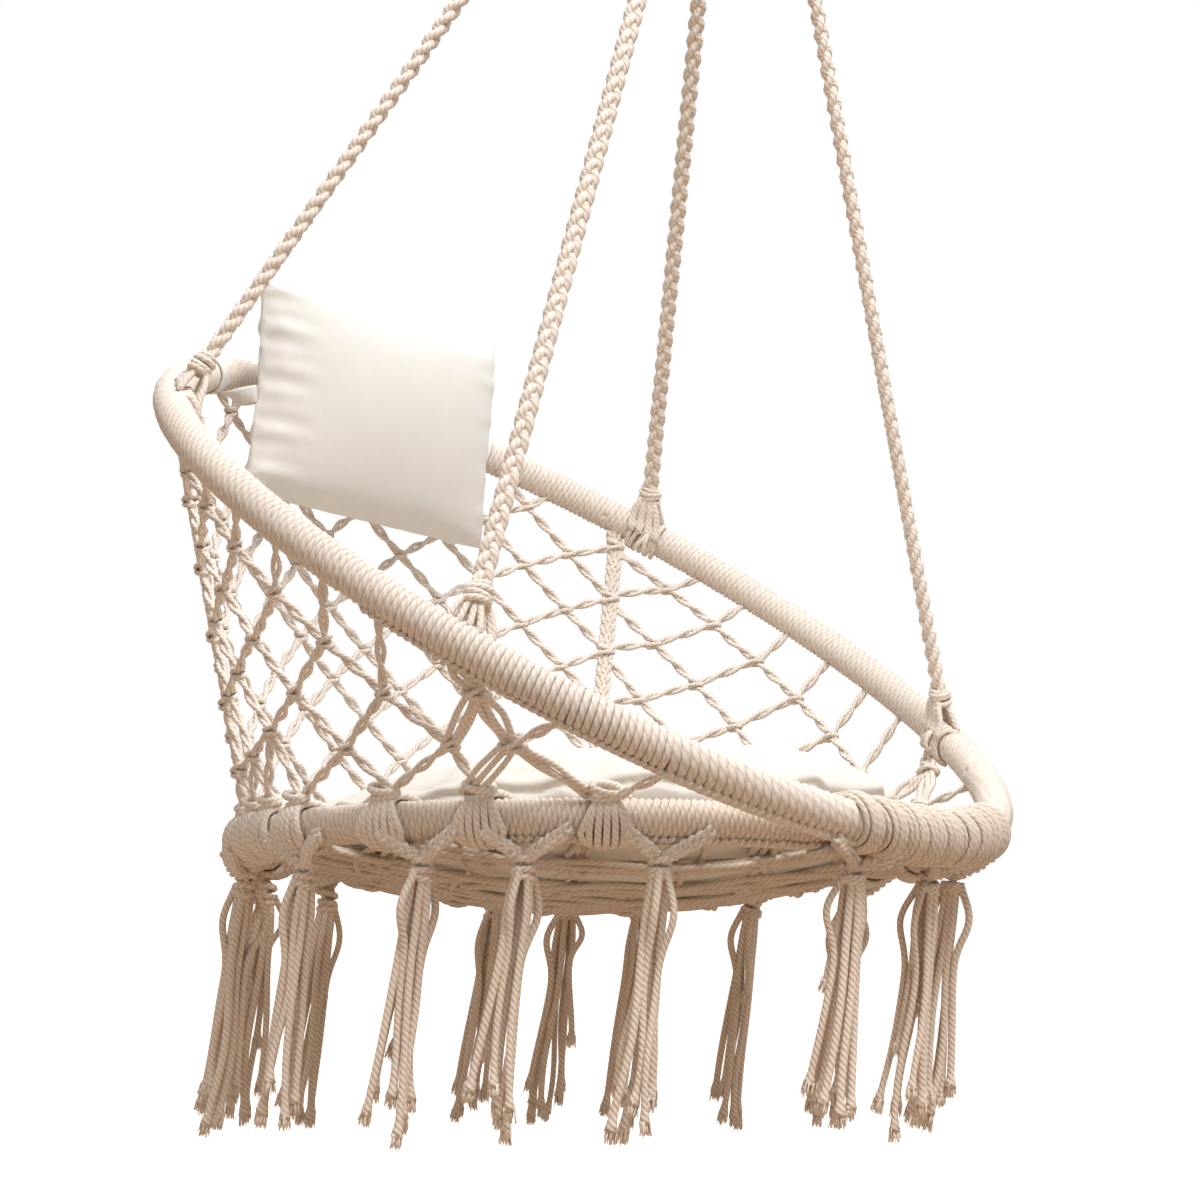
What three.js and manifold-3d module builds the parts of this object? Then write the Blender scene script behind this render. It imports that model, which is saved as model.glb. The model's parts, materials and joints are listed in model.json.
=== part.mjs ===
// Macrame hammock chair: two cord-wrapped steel rings, a knotted net back and seat, two long
// hanger ropes that pass through one steel ring, sixteen tassels, a seat cushion and a head pillow.
// Millimetres, +Z up, the chair faces -Y. The origin is where a hook bears, at the top of the
// hanging ring's hole.

import * as THREE from 'three';
import { mergeVertices } from 'three/addons/utils/BufferGeometryUtils.js';
import Module from 'manifold-3d';

const wasm = await Module();
wasm.setup();

// Driving dimensions of the frame
const CLEARANCE = 0.4;
const SEAT_RING_RADIUS = 300;
const UPPER_RING_RADIUS = 409;
const SEAT_DROP = 1269;
const SEAT_TILT_DEG = 8.1;
const UPPER_TILT_DEG = 26.6;
const TUBE_RADIUS = 11;
const TUBE_WALL = 1.6;
const TUBE_BORE_RADIUS = TUBE_RADIUS - TUBE_WALL;
const WRAP_THICKNESS = 5;
const WRAP_RADIUS = TUBE_RADIUS + WRAP_THICKNESS;
const RING_FACET_DEG = 9;
const UPPER_FACET_PHASE_DEG = 4.5;
const SECTION_SIDES = 8;
const TUBE_SIDES = 6;
const BORE_SIDES = 4;
const WRAP_JOINT_DEG = 0.05;
const RING_CONTACT_DEG = -6;

// Driving dimensions of the hanging gear
const HANG_HOLE_RADIUS = 25;
const HANG_BAR_RADIUS = 4;
const HANG_RING_FACETS = 20;
const ROPE_RADIUS = 6.5;
const ROPE_SIDES = 8;
const ROPE_LEG_STATIONS = 12;
const ROPE_SIDE_OFFSET = ROPE_RADIUS + CLEARANCE;
const ROPE_LOOP_SLACK = 1.5;
const ROPE_LOOP_RADIUS = HANG_BAR_RADIUS + ROPE_RADIUS + ROPE_LOOP_SLACK;
const ROPE_LOOP_STATIONS = 8;
const WHIPPING_TOP_DROP = 26;
const WHIPPING_LENGTH = 62;
const WHIPPING_WALL = 4.2;
const WHIPPING_BULGE = 1.2;
const WHIPPING_SEGMENTS = 16;
const BACK_HANGER_DEG = 33.8;
const FRONT_HANGER_DEG = -27.8;
const HANGER_BAND_WIDTH = 32;
const HANGER_BAND_WALL = 4.1;
const HANGER_BAND_RADIUS = WRAP_RADIUS + CLEARANCE + HANGER_BAND_WALL;
const FAN_HEIGHT = 27;
const ROPE_START = 3.4;
const FAN_STRAND_RADIUS = 4.6;
const FAN_SPREAD = 6.6;
const FAN_LEAN_DEG = 12;
const FAN_BAND_SHARE = 0.6;
const FAN_DEPTH = WRAP_RADIUS + CLEARANCE + FAN_BAND_SHARE * HANGER_BAND_WALL;
const FAN_PEAK_OFFSET = 3.4;
const COLLAR_LENGTH = 21;
const COLLAR_START = 4;
const COLLAR_WALL = 5.6;
const COLLAR_RADIUS = ROPE_RADIUS + CLEARANCE + COLLAR_WALL;

// Driving dimensions of the nets: cords lie in flat pairs, thicker in the edges and front legs
const PAIR_WIDTH = 9.6;
const PAIR_THICKNESS = 5.4;
const SENNIT_WIDTH = 14;
const SENNIT_THICKNESS = 7;
const LEG_WIDTH = 16;
const LEG_THICKNESS = 9;
const KNOT_GAIN = 1.2;
const KNOT_REACH_LIMIT = 0.95;
const KNOT_BULGE = 0.9;
const STRAND_SIDES = 4;
const TIE_BAND_WIDTH = 34;
const TIE_BAND_WALL = 4.1;
const TIE_BAND_RADIUS = WRAP_RADIUS + CLEARANCE + TIE_BAND_WALL;
const TIE_DEPTH_SHARE = 0.44;
const TIE_DEPTH = WRAP_RADIUS + CLEARANCE + TIE_DEPTH_SHARE * TIE_BAND_WALL;
const TIE_SLACK_DEG = 1.05;
const TIE_SLOT_DEG = 1.25;
const EDGE_SLOT_SHARE = 2;
const BAND_GUARD_DEG = 5;
const NET_BAND_GAP = 1.2;
const BACK_EDGE_DEG = 38.5;
const BACK_COLUMN_COUNT = 14;
const BACK_ROW_COUNT = 6;
const BACK_FIRST_ROW_SHARE = 0.082;
const BACK_ROW_PITCH_SHARE = 0.153;
const SEAT_SAG = 50;
const SEAT_NET_PITCH = 76;
const SEAT_NET_HALF_COUNT = 3;
const SEAT_NET_RIM = 38;

// Driving dimensions of the tassels and the front lashing
const TASSEL_KNOT_DROP = 31;
const YOKE_STUB_LENGTH = 5.5;
const FRONT_YOKE_SPREAD_DEG = 4;
const TASSEL_HEAD_RADIUS = 10;
const TASSEL_HEAD_LENGTH = 26;
const TASSEL_CROWN = 4.8;
const TASSEL_LENGTH = 213;
const TASSEL_CORDS = 5;
const TASSEL_SPLAY = 20;
const TASSEL_NOTCH = 14;
const TASSEL_TOP_SHARE = 0.75;
const TASSEL_WAIST_SHARE = 0.9;
const TASSEL_WAIST_GROOVE_SHARE = 0.8;
const TASSEL_SKIRT_SHARE = 0.9;
const TASSEL_SKIRT_GROOVE_SHARE = 1.1;
const LASHING_LOOPS = 15;
const LASHING_STATIONS = 10;
const LASHING_FROM_DEG = -17;
const LASHING_TO_DEG = 25;
const LASHING_CORD_RADIUS = 2.6;
const LASHING_CORD_SIDES = 4;
const LASHING_GAP = 2.2;
const LASHING_REACH = WRAP_RADIUS + LASHING_GAP + LASHING_CORD_RADIUS;

// Driving dimensions of the soft pieces
const CUSHION_SEGMENTS = 30;
const CUSHION_RING_GAP = 2;
const CUSHION_NET_GAP = 0.8;
const CUSHION_SEAM_HEIGHT = 20;
const CUSHION_CROWN_HEIGHT = 36;
const CUSHION_FRONT_RISE_SHARE = 0.6;
const PILLOW_WIDTH = 345;
const PILLOW_HEIGHT = 202;
const PILLOW_THICKNESS = 74;
const PILLOW_CENTRE_X = 11;
const PILLOW_GAP = 25;
const PILLOW_BEND = 10;
const PILLOW_SWELL_POWER = 0.45;
const PILLOW_COLUMNS = 14;
const PILLOW_ROWS = 10;
const STRAP_WIDTH = 20;
const STRAP_THICKNESS = 2;
const STRAP_TONGUE_RADIUS = 5;
const STRAP_MEET_SHARE = 0.87;
const STRAP_RING_DEG = 62;

const CORD_COLOUR = 0xe9ddcc;
const CLOTH_COLOUR = 0xf6f3ea;
const STEEL_COLOUR = 0xb9bcc0;
const TUBE_COLOUR = 0x8f9296;
const CORD_ROUGHNESS = 0.95;
const CLOTH_ROUGHNESS = 0.9;
const STEEL_ROUGHNESS = 0.35;
const TUBE_ROUGHNESS = 0.5;
const TUBE_METALNESS = 0.9;

const material = (color, roughness, metalness) =>
  new THREE.MeshStandardMaterial({ color, roughness, metalness });
const cordMaterial = material(CORD_COLOUR, CORD_ROUGHNESS, 0);
const clothMaterial = material(CLOTH_COLOUR, CLOTH_ROUGHNESS, 0);
const steelMaterial = material(STEEL_COLOUR, STEEL_ROUGHNESS, 1);
const tubeMaterial = material(TUBE_COLOUR, TUBE_ROUGHNESS, TUBE_METALNESS);

const chair = new THREE.Group();
const COORDINATES = 3;
const FULL_TURN = 2 * Math.PI;
const QUARTER_TURN = Math.PI / 2;
const RIGHT_ANGLE_DEG = 90;
const HALF_TURN_DEG = 180;
const FULL_TURN_DEG = 360;
const PROBE_DEG = 1;
const radians = THREE.MathUtils.degToRad;
const vector = (x, y, z) => new THREE.Vector3(x, y, z);
const mix = (a, b, share) => a.clone().lerp(b, share);

// Solids: three.js geometry joined and cut as manifolds
function toSolid(geometry) {
  const bare = geometry.clone();
  bare.deleteAttribute('normal');
  bare.deleteAttribute('uv');
  const merged = mergeVertices(bare);
  const vertProperties = Float32Array.from(merged.attributes.position.array);
  const triVerts = Uint32Array.from(merged.index.array);
  return new wasm.Manifold(new wasm.Mesh({ numProp: COORDINATES, vertProperties, triVerts }));
}

function toGeometry(solid) {
  const result = solid.getMesh();
  const positions = Float32Array.from(result.vertProperties);
  const geometry = new THREE.BufferGeometry();
  geometry.setAttribute('position', new THREE.BufferAttribute(positions, COORDINATES));
  geometry.setIndex(new THREE.BufferAttribute(Uint32Array.from(result.triVerts), 1));
  return geometry;
}

const join = (solids) => solids.reduce((whole, piece) => whole.add(piece));

function place(name, shape, surface) {
  const geometry = shape.isBufferGeometry ? shape : toGeometry(shape);
  geometry.computeVertexNormals();
  const mesh = new THREE.Mesh(geometry, surface);
  mesh.name = name;
  chair.add(mesh);
  return mesh;
}

// Sections and sweeps
function polygon(radius, sides) {
  const corners = [];
  for (let i = 0; i < sides; i += 1) {
    const angle = (FULL_TURN * i) / sides;
    corners.push(new THREE.Vector2(radius * Math.cos(angle), radius * Math.sin(angle)));
  }
  return corners;
}

class StationCurve extends THREE.Curve {
  constructor(stations) {
    super();
    this.stations = stations;
  }

  getPoint(share, target = new THREE.Vector3()) {
    const last = this.stations.length - 1;
    const index = Math.min(Math.floor(share * last), last - 1);
    return target.lerpVectors(this.stations[index], this.stations[index + 1], share * last - index);
  }

  getPointAt(share, target) {
    return this.getPoint(share, target);
  }

  getTangentAt(share, target = new THREE.Vector3()) {
    const last = this.stations.length - 1;
    const index = Math.round(share * last);
    const before = this.stations[Math.max(index - 1, 0)];
    const after = this.stations[Math.min(index + 1, last)];
    return target.subVectors(after, before).normalize();
  }
}

function sweep(stations, radius, sides) {
  const extrudePath = new StationCurve(stations);
  const settings = { steps: stations.length - 1, bevelEnabled: false, extrudePath };
  return new THREE.ExtrudeGeometry(new THREE.Shape(polygon(radius, sides)), settings);
}

const strand = (from, to, radius, sides = STRAND_SIDES) => toSolid(sweep([from, to], radius, sides));

// Ring frames: each ring lies in its own XY plane, turned about X and set in place
function ringFrame(centre, tiltDeg) {
  const frame = new THREE.Matrix4().makeRotationX(radians(tiltDeg));
  return frame.setPosition(centre);
}

const HANG_RING_RADIUS = HANG_HOLE_RADIUS + HANG_BAR_RADIUS;
const BAR_Z = -HANG_HOLE_RADIUS - HANG_RING_RADIUS;
const seatFrame = ringFrame(vector(0, 0, -SEAT_DROP), -SEAT_TILT_DEG);
const facetSag = (radius) => radius * (1 - Math.cos(radians(RING_FACET_DEG / 2)));
const RING_SPACING = 2 * WRAP_RADIUS + CLEARANCE + facetSag(UPPER_RING_RADIUS);
const contactAngle = radians(RING_CONTACT_DEG);
const upperFront = vector(
  0,
  -SEAT_RING_RADIUS - RING_SPACING * Math.cos(contactAngle),
  RING_SPACING * Math.sin(contactAngle),
).applyMatrix4(seatFrame);
const upperTilt = radians(UPPER_TILT_DEG);
const upperReach = vector(0, Math.cos(upperTilt), Math.sin(upperTilt)).multiplyScalar(UPPER_RING_RADIUS);
const upperFrame = ringFrame(upperFront.clone().add(upperReach), UPPER_TILT_DEG);

const seatRing = { radius: SEAT_RING_RADIUS, phaseDeg: 0, frame: seatFrame };
const upperRing = { radius: UPPER_RING_RADIUS, phaseDeg: UPPER_FACET_PHASE_DEG, frame: upperFrame };

// Angles run from +X toward the back, so the front of a ring is at -90 degrees
function ringPoint(ring, angleDeg, reach = 0, lift = 0) {
  const angle = radians(angleDeg);
  const radius = ring.radius + reach;
  return vector(radius * Math.cos(angle), radius * Math.sin(angle), lift).applyMatrix4(ring.frame);
}

// The middle of the ring facet that holds the angle
const facetMiddleDeg = (ring, angleDeg) =>
  (Math.floor((angleDeg - ring.phaseDeg) / RING_FACET_DEG) + 1 / 2) * RING_FACET_DEG + ring.phaseDeg;

// The axis of the faceted ring at an angle, and a point beside it that faces a given place
function ringAxisPoint(ring, angleDeg) {
  const offDeg = angleDeg - facetMiddleDeg(ring, angleDeg);
  const chordRadius = (ring.radius * Math.cos(radians(RING_FACET_DEG / 2))) / Math.cos(radians(offDeg));
  return ringPoint(ring, angleDeg, chordRadius - ring.radius);
}

function ringTangent(ring, angleDeg) {
  const middle = radians(facetMiddleDeg(ring, angleDeg));
  return vector(-Math.sin(middle), Math.cos(middle), 0).transformDirection(ring.frame);
}

function besideRing(ring, angleDeg, facing, reach) {
  const axisPoint = ringAxisPoint(ring, angleDeg);
  const outward = facing.clone().sub(axisPoint).projectOnPlane(ringTangent(ring, angleDeg)).normalize();
  return axisPoint.addScaledVector(outward, reach);
}

const seatPoint = (angleDeg, reach, lift) => ringPoint(seatRing, angleDeg, reach, lift);
const upperPoint = (angleDeg, reach, lift) => ringPoint(upperRing, angleDeg, reach, lift);

class ArcCurve extends THREE.Curve {
  constructor(radius, fromDeg, toDeg) {
    super();
    Object.assign(this, { radius, fromDeg, toDeg });
  }

  getPoint(share, target = new THREE.Vector3()) {
    const angle = radians(THREE.MathUtils.lerp(this.fromDeg, this.toDeg, share));
    return target.set(this.radius * Math.cos(angle), this.radius * Math.sin(angle), 0);
  }

  getPointAt(share, target) {
    return this.getPoint(share, target);
  }

  getTangentAt(share, target = new THREE.Vector3()) {
    const angle = radians(THREE.MathUtils.lerp(this.fromDeg, this.toDeg, share));
    return target.set(-Math.sin(angle), Math.cos(angle), 0);
  }
}

function sleeve(ring, fromDeg, toDeg, outer, bore) {
  const shape = new THREE.Shape(polygon(...outer));
  shape.holes.push(new THREE.Path(polygon(...bore).reverse()));
  const extrudePath = new ArcCurve(ring.radius, fromDeg + WRAP_JOINT_DEG, toDeg - WRAP_JOINT_DEG);
  const steps = Math.round((toDeg - fromDeg) / RING_FACET_DEG);
  const geometry = new THREE.ExtrudeGeometry(shape, { steps, bevelEnabled: false, extrudePath });
  return geometry.applyMatrix4(ring.frame);
}

// A short straight band stays within one facet of the ring, as near its angle as it can
function bandCentreDeg(ring, angleDeg, width) {
  const middleDeg = facetMiddleDeg(ring, angleDeg);
  const slackDeg = RING_FACET_DEG / 2 - THREE.MathUtils.radToDeg(width / 2 / ring.radius);
  return middleDeg + THREE.MathUtils.clamp(angleDeg - middleDeg, -slackDeg, slackDeg);
}

function bandSleeve(ring, angleDeg, width, outer, inner = WRAP_RADIUS + CLEARANCE) {
  const shape = new THREE.Shape(polygon(outer, SECTION_SIDES));
  shape.holes.push(new THREE.Path(polygon(inner, SECTION_SIDES).reverse()));
  const centreDeg = bandCentreDeg(ring, angleDeg, width);
  const flatRing = { ...ring, frame: new THREE.Matrix4() };
  const centre = ringAxisPoint(flatRing, centreDeg);
  const along = ringTangent(flatRing, centreDeg);
  const ends = [-1, 1].map((sign) => centre.clone().addScaledVector(along, (sign * width) / 2));
  const settings = { steps: 1, bevelEnabled: false, extrudePath: new StationCurve(ends) };
  return toSolid(new THREE.ExtrudeGeometry(shape, settings).applyMatrix4(ring.frame));
}

// Steel rings: bent tube, each closed by one butt joint
function makeRingTube(name, ring) {
  const startDeg = RIGHT_ANGLE_DEG + ring.phaseDeg;
  const outer = [TUBE_RADIUS, TUBE_SIDES];
  const bore = [TUBE_BORE_RADIUS, BORE_SIDES];
  place(name, sleeve(ring, startDeg, startDeg + FULL_TURN_DEG, outer, bore), tubeMaterial);
}
makeRingTube('upper_ring_tube', upperRing);
makeRingTube('seat_ring_tube', seatRing);

// Cord wraps, each a length of winding from one tie to the next
function makeWraps(prefix, ring, endsDeg) {
  const sides = ['right', 'back', 'left', 'front'];
  sides.forEach((side, i) => {
    const bore = [TUBE_RADIUS + CLEARANCE, TUBE_SIDES];
    const shape = sleeve(ring, endsDeg[i], endsDeg[i + 1], [WRAP_RADIUS, SECTION_SIDES], bore);
    place(`${prefix}_wrap_${side}`, shape, cordMaterial);
  });
}
const UPPER_WRAP_ENDS_DEG = [-40.5, 40.5, 139.5, 220.5, 319.5];
const SEAT_WRAP_ENDS_DEG = [-45, 45, 135, 225, 315];
makeWraps('upper', upperRing, UPPER_WRAP_ENDS_DEG);
makeWraps('seat', seatRing, SEAT_WRAP_ENDS_DEG);

// Hanging ring: an upright steel ring whose hole top is the origin
function makeHangingRing() {
  const centre = new THREE.Vector2(HANG_RING_RADIUS, 0);
  const profile = polygon(HANG_BAR_RADIUS, SECTION_SIDES).map((corner) => corner.add(centre));
  const geometry = new THREE.LatheGeometry([...profile, profile[0].clone()], HANG_RING_FACETS);
  geometry.translate(0, 0, -HANG_HOLE_RADIUS);
  place('hanging_ring', geometry, steelMaterial);
}
makeHangingRing();

// Hangers: where each rope leg meets the upper ring
const sideName = (side) => (side < 0 ? 'left' : 'right');
const mirrorDeg = (angleDeg, side) => (side < 0 ? HALF_TURN_DEG - angleDeg : angleDeg);
const NECK_Z = BAR_Z - WHIPPING_TOP_DROP - WHIPPING_LENGTH;

function hangerLine(side, isFront) {
  const wantedDeg = mirrorDeg(isFront ? FRONT_HANGER_DEG : BACK_HANGER_DEG, side);
  const angleDeg = bandCentreDeg(upperRing, wantedDeg, HANGER_BAND_WIDTH);
  const foot = ringAxisPoint(upperRing, angleDeg);
  const depth = isFront ? -ROPE_SIDE_OFFSET : ROPE_SIDE_OFFSET;
  const neck = vector(side * ROPE_SIDE_OFFSET, depth, NECK_Z);
  const rise = neck.clone().sub(foot).normalize();
  return { angleDeg, foot, neck, rise };
}

// One rope passes through the hanging ring and carries both corners of its side
function ropeStations(side) {
  const x = side * ROPE_SIDE_OFFSET;
  const leg = (isFront) => {
    const { foot, neck, rise } = hangerLine(side, isFront);
    const start = foot.clone().addScaledVector(rise, FAN_HEIGHT + ROPE_START);
    const stations = [];
    for (let i = 0; i < ROPE_LEG_STATIONS; i += 1) {
      stations.push(mix(start, neck, i / ROPE_LEG_STATIONS));
    }
    const depth = isFront ? -ROPE_SIDE_OFFSET : ROPE_SIDE_OFFSET;
    stations.push(neck.clone());
    stations.push(vector(x, depth, NECK_Z + WHIPPING_LENGTH / 2));
    stations.push(vector(x, depth, NECK_Z + WHIPPING_LENGTH));
    return stations;
  };
  const loop = [];
  for (let i = 0; i <= ROPE_LOOP_STATIONS; i += 1) {
    const angle = Math.PI * (i / ROPE_LOOP_STATIONS);
    loop.push(vector(x, -ROPE_LOOP_RADIUS * Math.cos(angle), BAR_Z + ROPE_LOOP_RADIUS * Math.sin(angle)));
  }
  return [...leg(true), ...loop, ...leg(false).reverse()];
}

for (const side of [-1, 1]) {
  place(`rope_${sideName(side)}`, sweep(ropeStations(side), ROPE_RADIUS, ROPE_SIDES), cordMaterial);
}

// Whipping: cord bound round the four rope legs below the hanging ring
function makeTopWhipping() {
  const bundle = Math.hypot(ROPE_SIDE_OFFSET, ROPE_SIDE_OFFSET) + ROPE_RADIUS + CLEARANCE;
  const outer = bundle + WHIPPING_WALL;
  const top = NECK_Z + WHIPPING_LENGTH - CLEARANCE;
  const middle = NECK_Z + WHIPPING_LENGTH / 2;
  const facetFit = 1 / Math.cos(Math.PI / WHIPPING_SEGMENTS);
  const profile = [
    [bundle * facetFit, NECK_Z],
    [outer * facetFit, NECK_Z],
    [outer * facetFit + WHIPPING_BULGE, middle],
    [outer * facetFit, top],
    [bundle * facetFit, top],
    [bundle * facetFit, NECK_Z],
  ].map(([radius, height]) => new THREE.Vector2(radius, height));
  const geometry = new THREE.LatheGeometry(profile, WHIPPING_SEGMENTS);
  place('top_whipping', geometry.rotateX(radians(RIGHT_ANGLE_DEG)), cordMaterial);
}
makeTopWhipping();

// Rope fan: the rope's strands spread over the upper ring and bind round it
function fanSolid(side, isFront) {
  const { angleDeg, foot, rise } = hangerLine(side, isFront);
  const along = ringTangent(upperRing, angleDeg);
  const upward = rise.clone().projectOnPlane(along).normalize();
  const across = along.clone().cross(upward);
  const lean = radians(FAN_LEAN_DEG);
  const peak = foot.clone().addScaledVector(rise, FAN_HEIGHT);
  const solids = [bandSleeve(upperRing, angleDeg, HANGER_BAND_WIDTH, HANGER_BAND_RADIUS)];
  for (const spread of [-1, 1]) {
    for (const sway of [-1, 1]) {
      const end = foot.clone().addScaledVector(along, spread * FAN_SPREAD);
      end.addScaledVector(upward, FAN_DEPTH * Math.cos(lean));
      end.addScaledVector(across, sway * FAN_DEPTH * Math.sin(lean));
      const start = peak.clone().addScaledVector(along, spread * FAN_PEAK_OFFSET);
      start.addScaledVector(across, sway * FAN_PEAK_OFFSET);
      solids.push(strand(start, end, FAN_STRAND_RADIUS));
    }
  }
  return join(solids);
}

// Collar: the whipping at the foot of each rope leg, just above its fan
function makeCollar(name, side, isFront) {
  const { foot, rise } = hangerLine(side, isFront);
  const start = foot.clone().addScaledVector(rise, FAN_HEIGHT + COLLAR_START);
  const end = start.clone().addScaledVector(rise, COLLAR_LENGTH);
  const blank = toSolid(sweep([start, end], COLLAR_RADIUS, SECTION_SIDES));
  const rope = toSolid(sweep(ropeStations(side), ROPE_RADIUS + CLEARANCE, ROPE_SIDES));
  place(name, blank.subtract(rope), cordMaterial);
}

for (const side of [-1, 1]) {
  for (const isFront of [true, false]) {
    const label = `${isFront ? 'front' : 'back'}_${sideName(side)}`;
    place(`rope_fan_${label}`, fanSolid(side, isFront), cordMaterial);
    makeCollar(`rope_collar_${label}`, side, isFront);
  }
}

// Lattice: knots joined by flat cord pairs, built as one closed skin without cuts
class Lattice {
  constructor() {
    this.knots = new Map();
  }

  // An end knot may have a rim axis, along the ring that its pair runs up to
  addKnot(key, centre, normal, rimAxis = null) {
    this.knots.set(key, { centre, normal, rimAxis, links: [] });
  }

  addLink(fromKey, toKey, width = PAIR_WIDTH, thickness = PAIR_THICKNESS) {
    this.knots.get(fromKey).links.push({ toKey, width, thickness });
    this.knots.get(toKey).links.push({ toKey: fromKey, width, thickness });
  }

  // Rim corners lie between neighbouring links, so each pair leaves its knot through one rim side
  layRim(knotEntry, corners) {
    const { centre, normal, rimAxis, links } = knotEntry;
    const awayAlong = (link) => this.knots.get(link.toKey).centre.clone().sub(centre);
    const eastward = awayAlong(links[0]).projectOnPlane(normal).normalize();
    const northward = normal.clone().cross(eastward);
    links.forEach((link) => {
      const away = awayAlong(link);
      Object.assign(link, { heading: Math.atan2(away.dot(northward), away.dot(eastward)) });
    });
    links.sort((one, other) => one.heading - other.heading);
    const pushCorner = (angle, reach, thickness) => {
      const corner = centre.clone().addScaledVector(eastward, reach * Math.cos(angle));
      corner.addScaledVector(northward, reach * Math.sin(angle));
      corners.push(corner.clone().addScaledVector(normal, thickness / 2));
      corners.push(corner.clone().addScaledVector(normal, -thickness / 2));
      return corners.length - 2;
    };
    if (links.length === 1) {
      const [link] = links;
      let leftward = link.heading + QUARTER_TURN;
      if (rimAxis) {
        const rimHeading = Math.atan2(rimAxis.dot(northward), rimAxis.dot(eastward));
        leftward = Math.cos(rimHeading - leftward) < 0 ? rimHeading + Math.PI : rimHeading;
      }
      link.left = pushCorner(leftward, link.width / 2, link.thickness);
      link.right = pushCorner(leftward + Math.PI, link.width / 2, link.thickness);
      return;
    }
    links.forEach((link, i) => {
      const next = links[(i + 1) % links.length];
      const gap = (next.heading - link.heading + FULL_TURN) % FULL_TURN || FULL_TURN;
      const width = (link.width + next.width) / 2;
      const reach = width / 2 / Math.sin(Math.min(gap / 2, QUARTER_TURN));
      const limited = Math.min(reach * KNOT_GAIN, width * KNOT_REACH_LIMIT);
      const corner = pushCorner(link.heading + gap / 2, limited, (link.thickness + next.thickness) / 2);
      link.left = corner;
      next.right = corner;
    });
  }

  build() {
    const corners = [];
    const indices = [];
    const quad = (a, b, c, d) => indices.push(a, b, c, a, c, d);
    this.knots.forEach((knotEntry) => this.layRim(knotEntry, corners));
    this.knots.forEach((knotEntry, key) => {
      const { centre, normal, links } = knotEntry;
      if (links.length === 1) {
        const [{ left, right }] = links;
        quad(left + 1, right + 1, right, left);
      }
      if (links.length > 2) {
        const bulge = Math.max(...links.map((link) => link.thickness)) * KNOT_BULGE;
        const front = corners.push(centre.clone().addScaledVector(normal, bulge)) - 1;
        const back = corners.push(centre.clone().addScaledVector(normal, -bulge)) - 1;
        links.forEach(({ left, right }) => indices.push(front, right, left, back, left + 1, right + 1));
      }
      links.filter((link) => key < link.toKey).forEach((link) => {
        const twin = this.knots.get(link.toKey).links.find((other) => other.toKey === key);
        quad(link.right, twin.left, twin.right, link.left);
        quad(link.left + 1, twin.right + 1, twin.left + 1, link.right + 1);
        quad(link.left, twin.right, twin.right + 1, link.left + 1);
        quad(link.right + 1, twin.left + 1, twin.left, link.right);
      });
    });
    const geometry = new THREE.BufferGeometry().setFromPoints(corners);
    geometry.setIndex(indices);
    return geometry;
  }
}

// Points of the back: on straight lines from the upper ring down to the seat ring
const netPoint = (angleDeg, share) => mix(upperPoint(angleDeg), seatPoint(angleDeg), share);

function netNormal(angleDeg, share) {
  const around = netPoint(angleDeg + PROBE_DEG, share).sub(netPoint(angleDeg - PROBE_DEG, share));
  const downward = seatPoint(angleDeg).sub(upperPoint(angleDeg));
  return downward.cross(around).normalize();
}

function addNetKnot(lattice, key, angleDeg, share) {
  lattice.addKnot(key, netPoint(angleDeg, share), netNormal(angleDeg, share));
}

// A pair ends just off the upper ring's wrap, or in the wall of the band at a tie
function addEnd(lattice, key, fromKey, ring, angleDeg, reach, ...section) {
  const from = lattice.knots.get(fromKey);
  const tangent = ringTangent(ring, angleDeg);
  const place = besideRing(ring, angleDeg, from.centre, reach);
  const normal = from.normal.clone().projectOnPlane(tangent).normalize();
  lattice.addKnot(key, place, normal, tangent);
  lattice.addLink(fromKey, key, ...section);
}

function addAnchor(lattice, key, fromKey, angleDeg, ...section) {
  addEnd(lattice, key, fromKey, upperRing, angleDeg, WRAP_RADIUS + CLEARANCE, ...section);
}

function addTie(lattice, key, fromKey, angleDeg, ...section) {
  addEnd(lattice, key, fromKey, seatRing, angleDeg, TIE_DEPTH, ...section);
}

const tieBand = (angleDeg) => bandSleeve(seatRing, angleDeg, TIE_BAND_WIDTH, TIE_BAND_RADIUS);

// Pairs that share a tie sit side by side within its band
function tieSlotDeg(angleDeg, slot) {
  const bandDeg = bandCentreDeg(seatRing, angleDeg, TIE_BAND_WIDTH);
  const heldDeg = THREE.MathUtils.clamp(angleDeg, bandDeg - TIE_SLACK_DEG, bandDeg + TIE_SLACK_DEG);
  return heldDeg + slot * TIE_SLOT_DEG;
}

// Tassel yoke: two cords from the ring's ties to the knot that a tassel hangs from
const apexBelow = (point) => point.add(vector(0, 0, -TASSEL_KNOT_DROP));

function addYoke(lattice, apex, feetDeg, addFoot) {
  const name = `yoke${lattice.knots.size}`;
  const outward = apex.clone().setZ(0).normalize();
  lattice.addKnot(name, apex, outward);
  lattice.addKnot(`${name}stub`, apex.clone().setZ(apex.z - YOKE_STUB_LENGTH), outward);
  lattice.addLink(name, `${name}stub`);
  feetDeg.forEach((footDeg, i) => addFoot(`${name}foot${i}`, name, footDeg));
}

function addSeatYoke(lattice, { apexDeg, feetDeg }) {
  const addFoot = (key, fromKey, footDeg) => addTie(lattice, key, fromKey, footDeg);
  addYoke(lattice, apexBelow(seatPoint(apexDeg)), feetDeg, addFoot);
}

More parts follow.
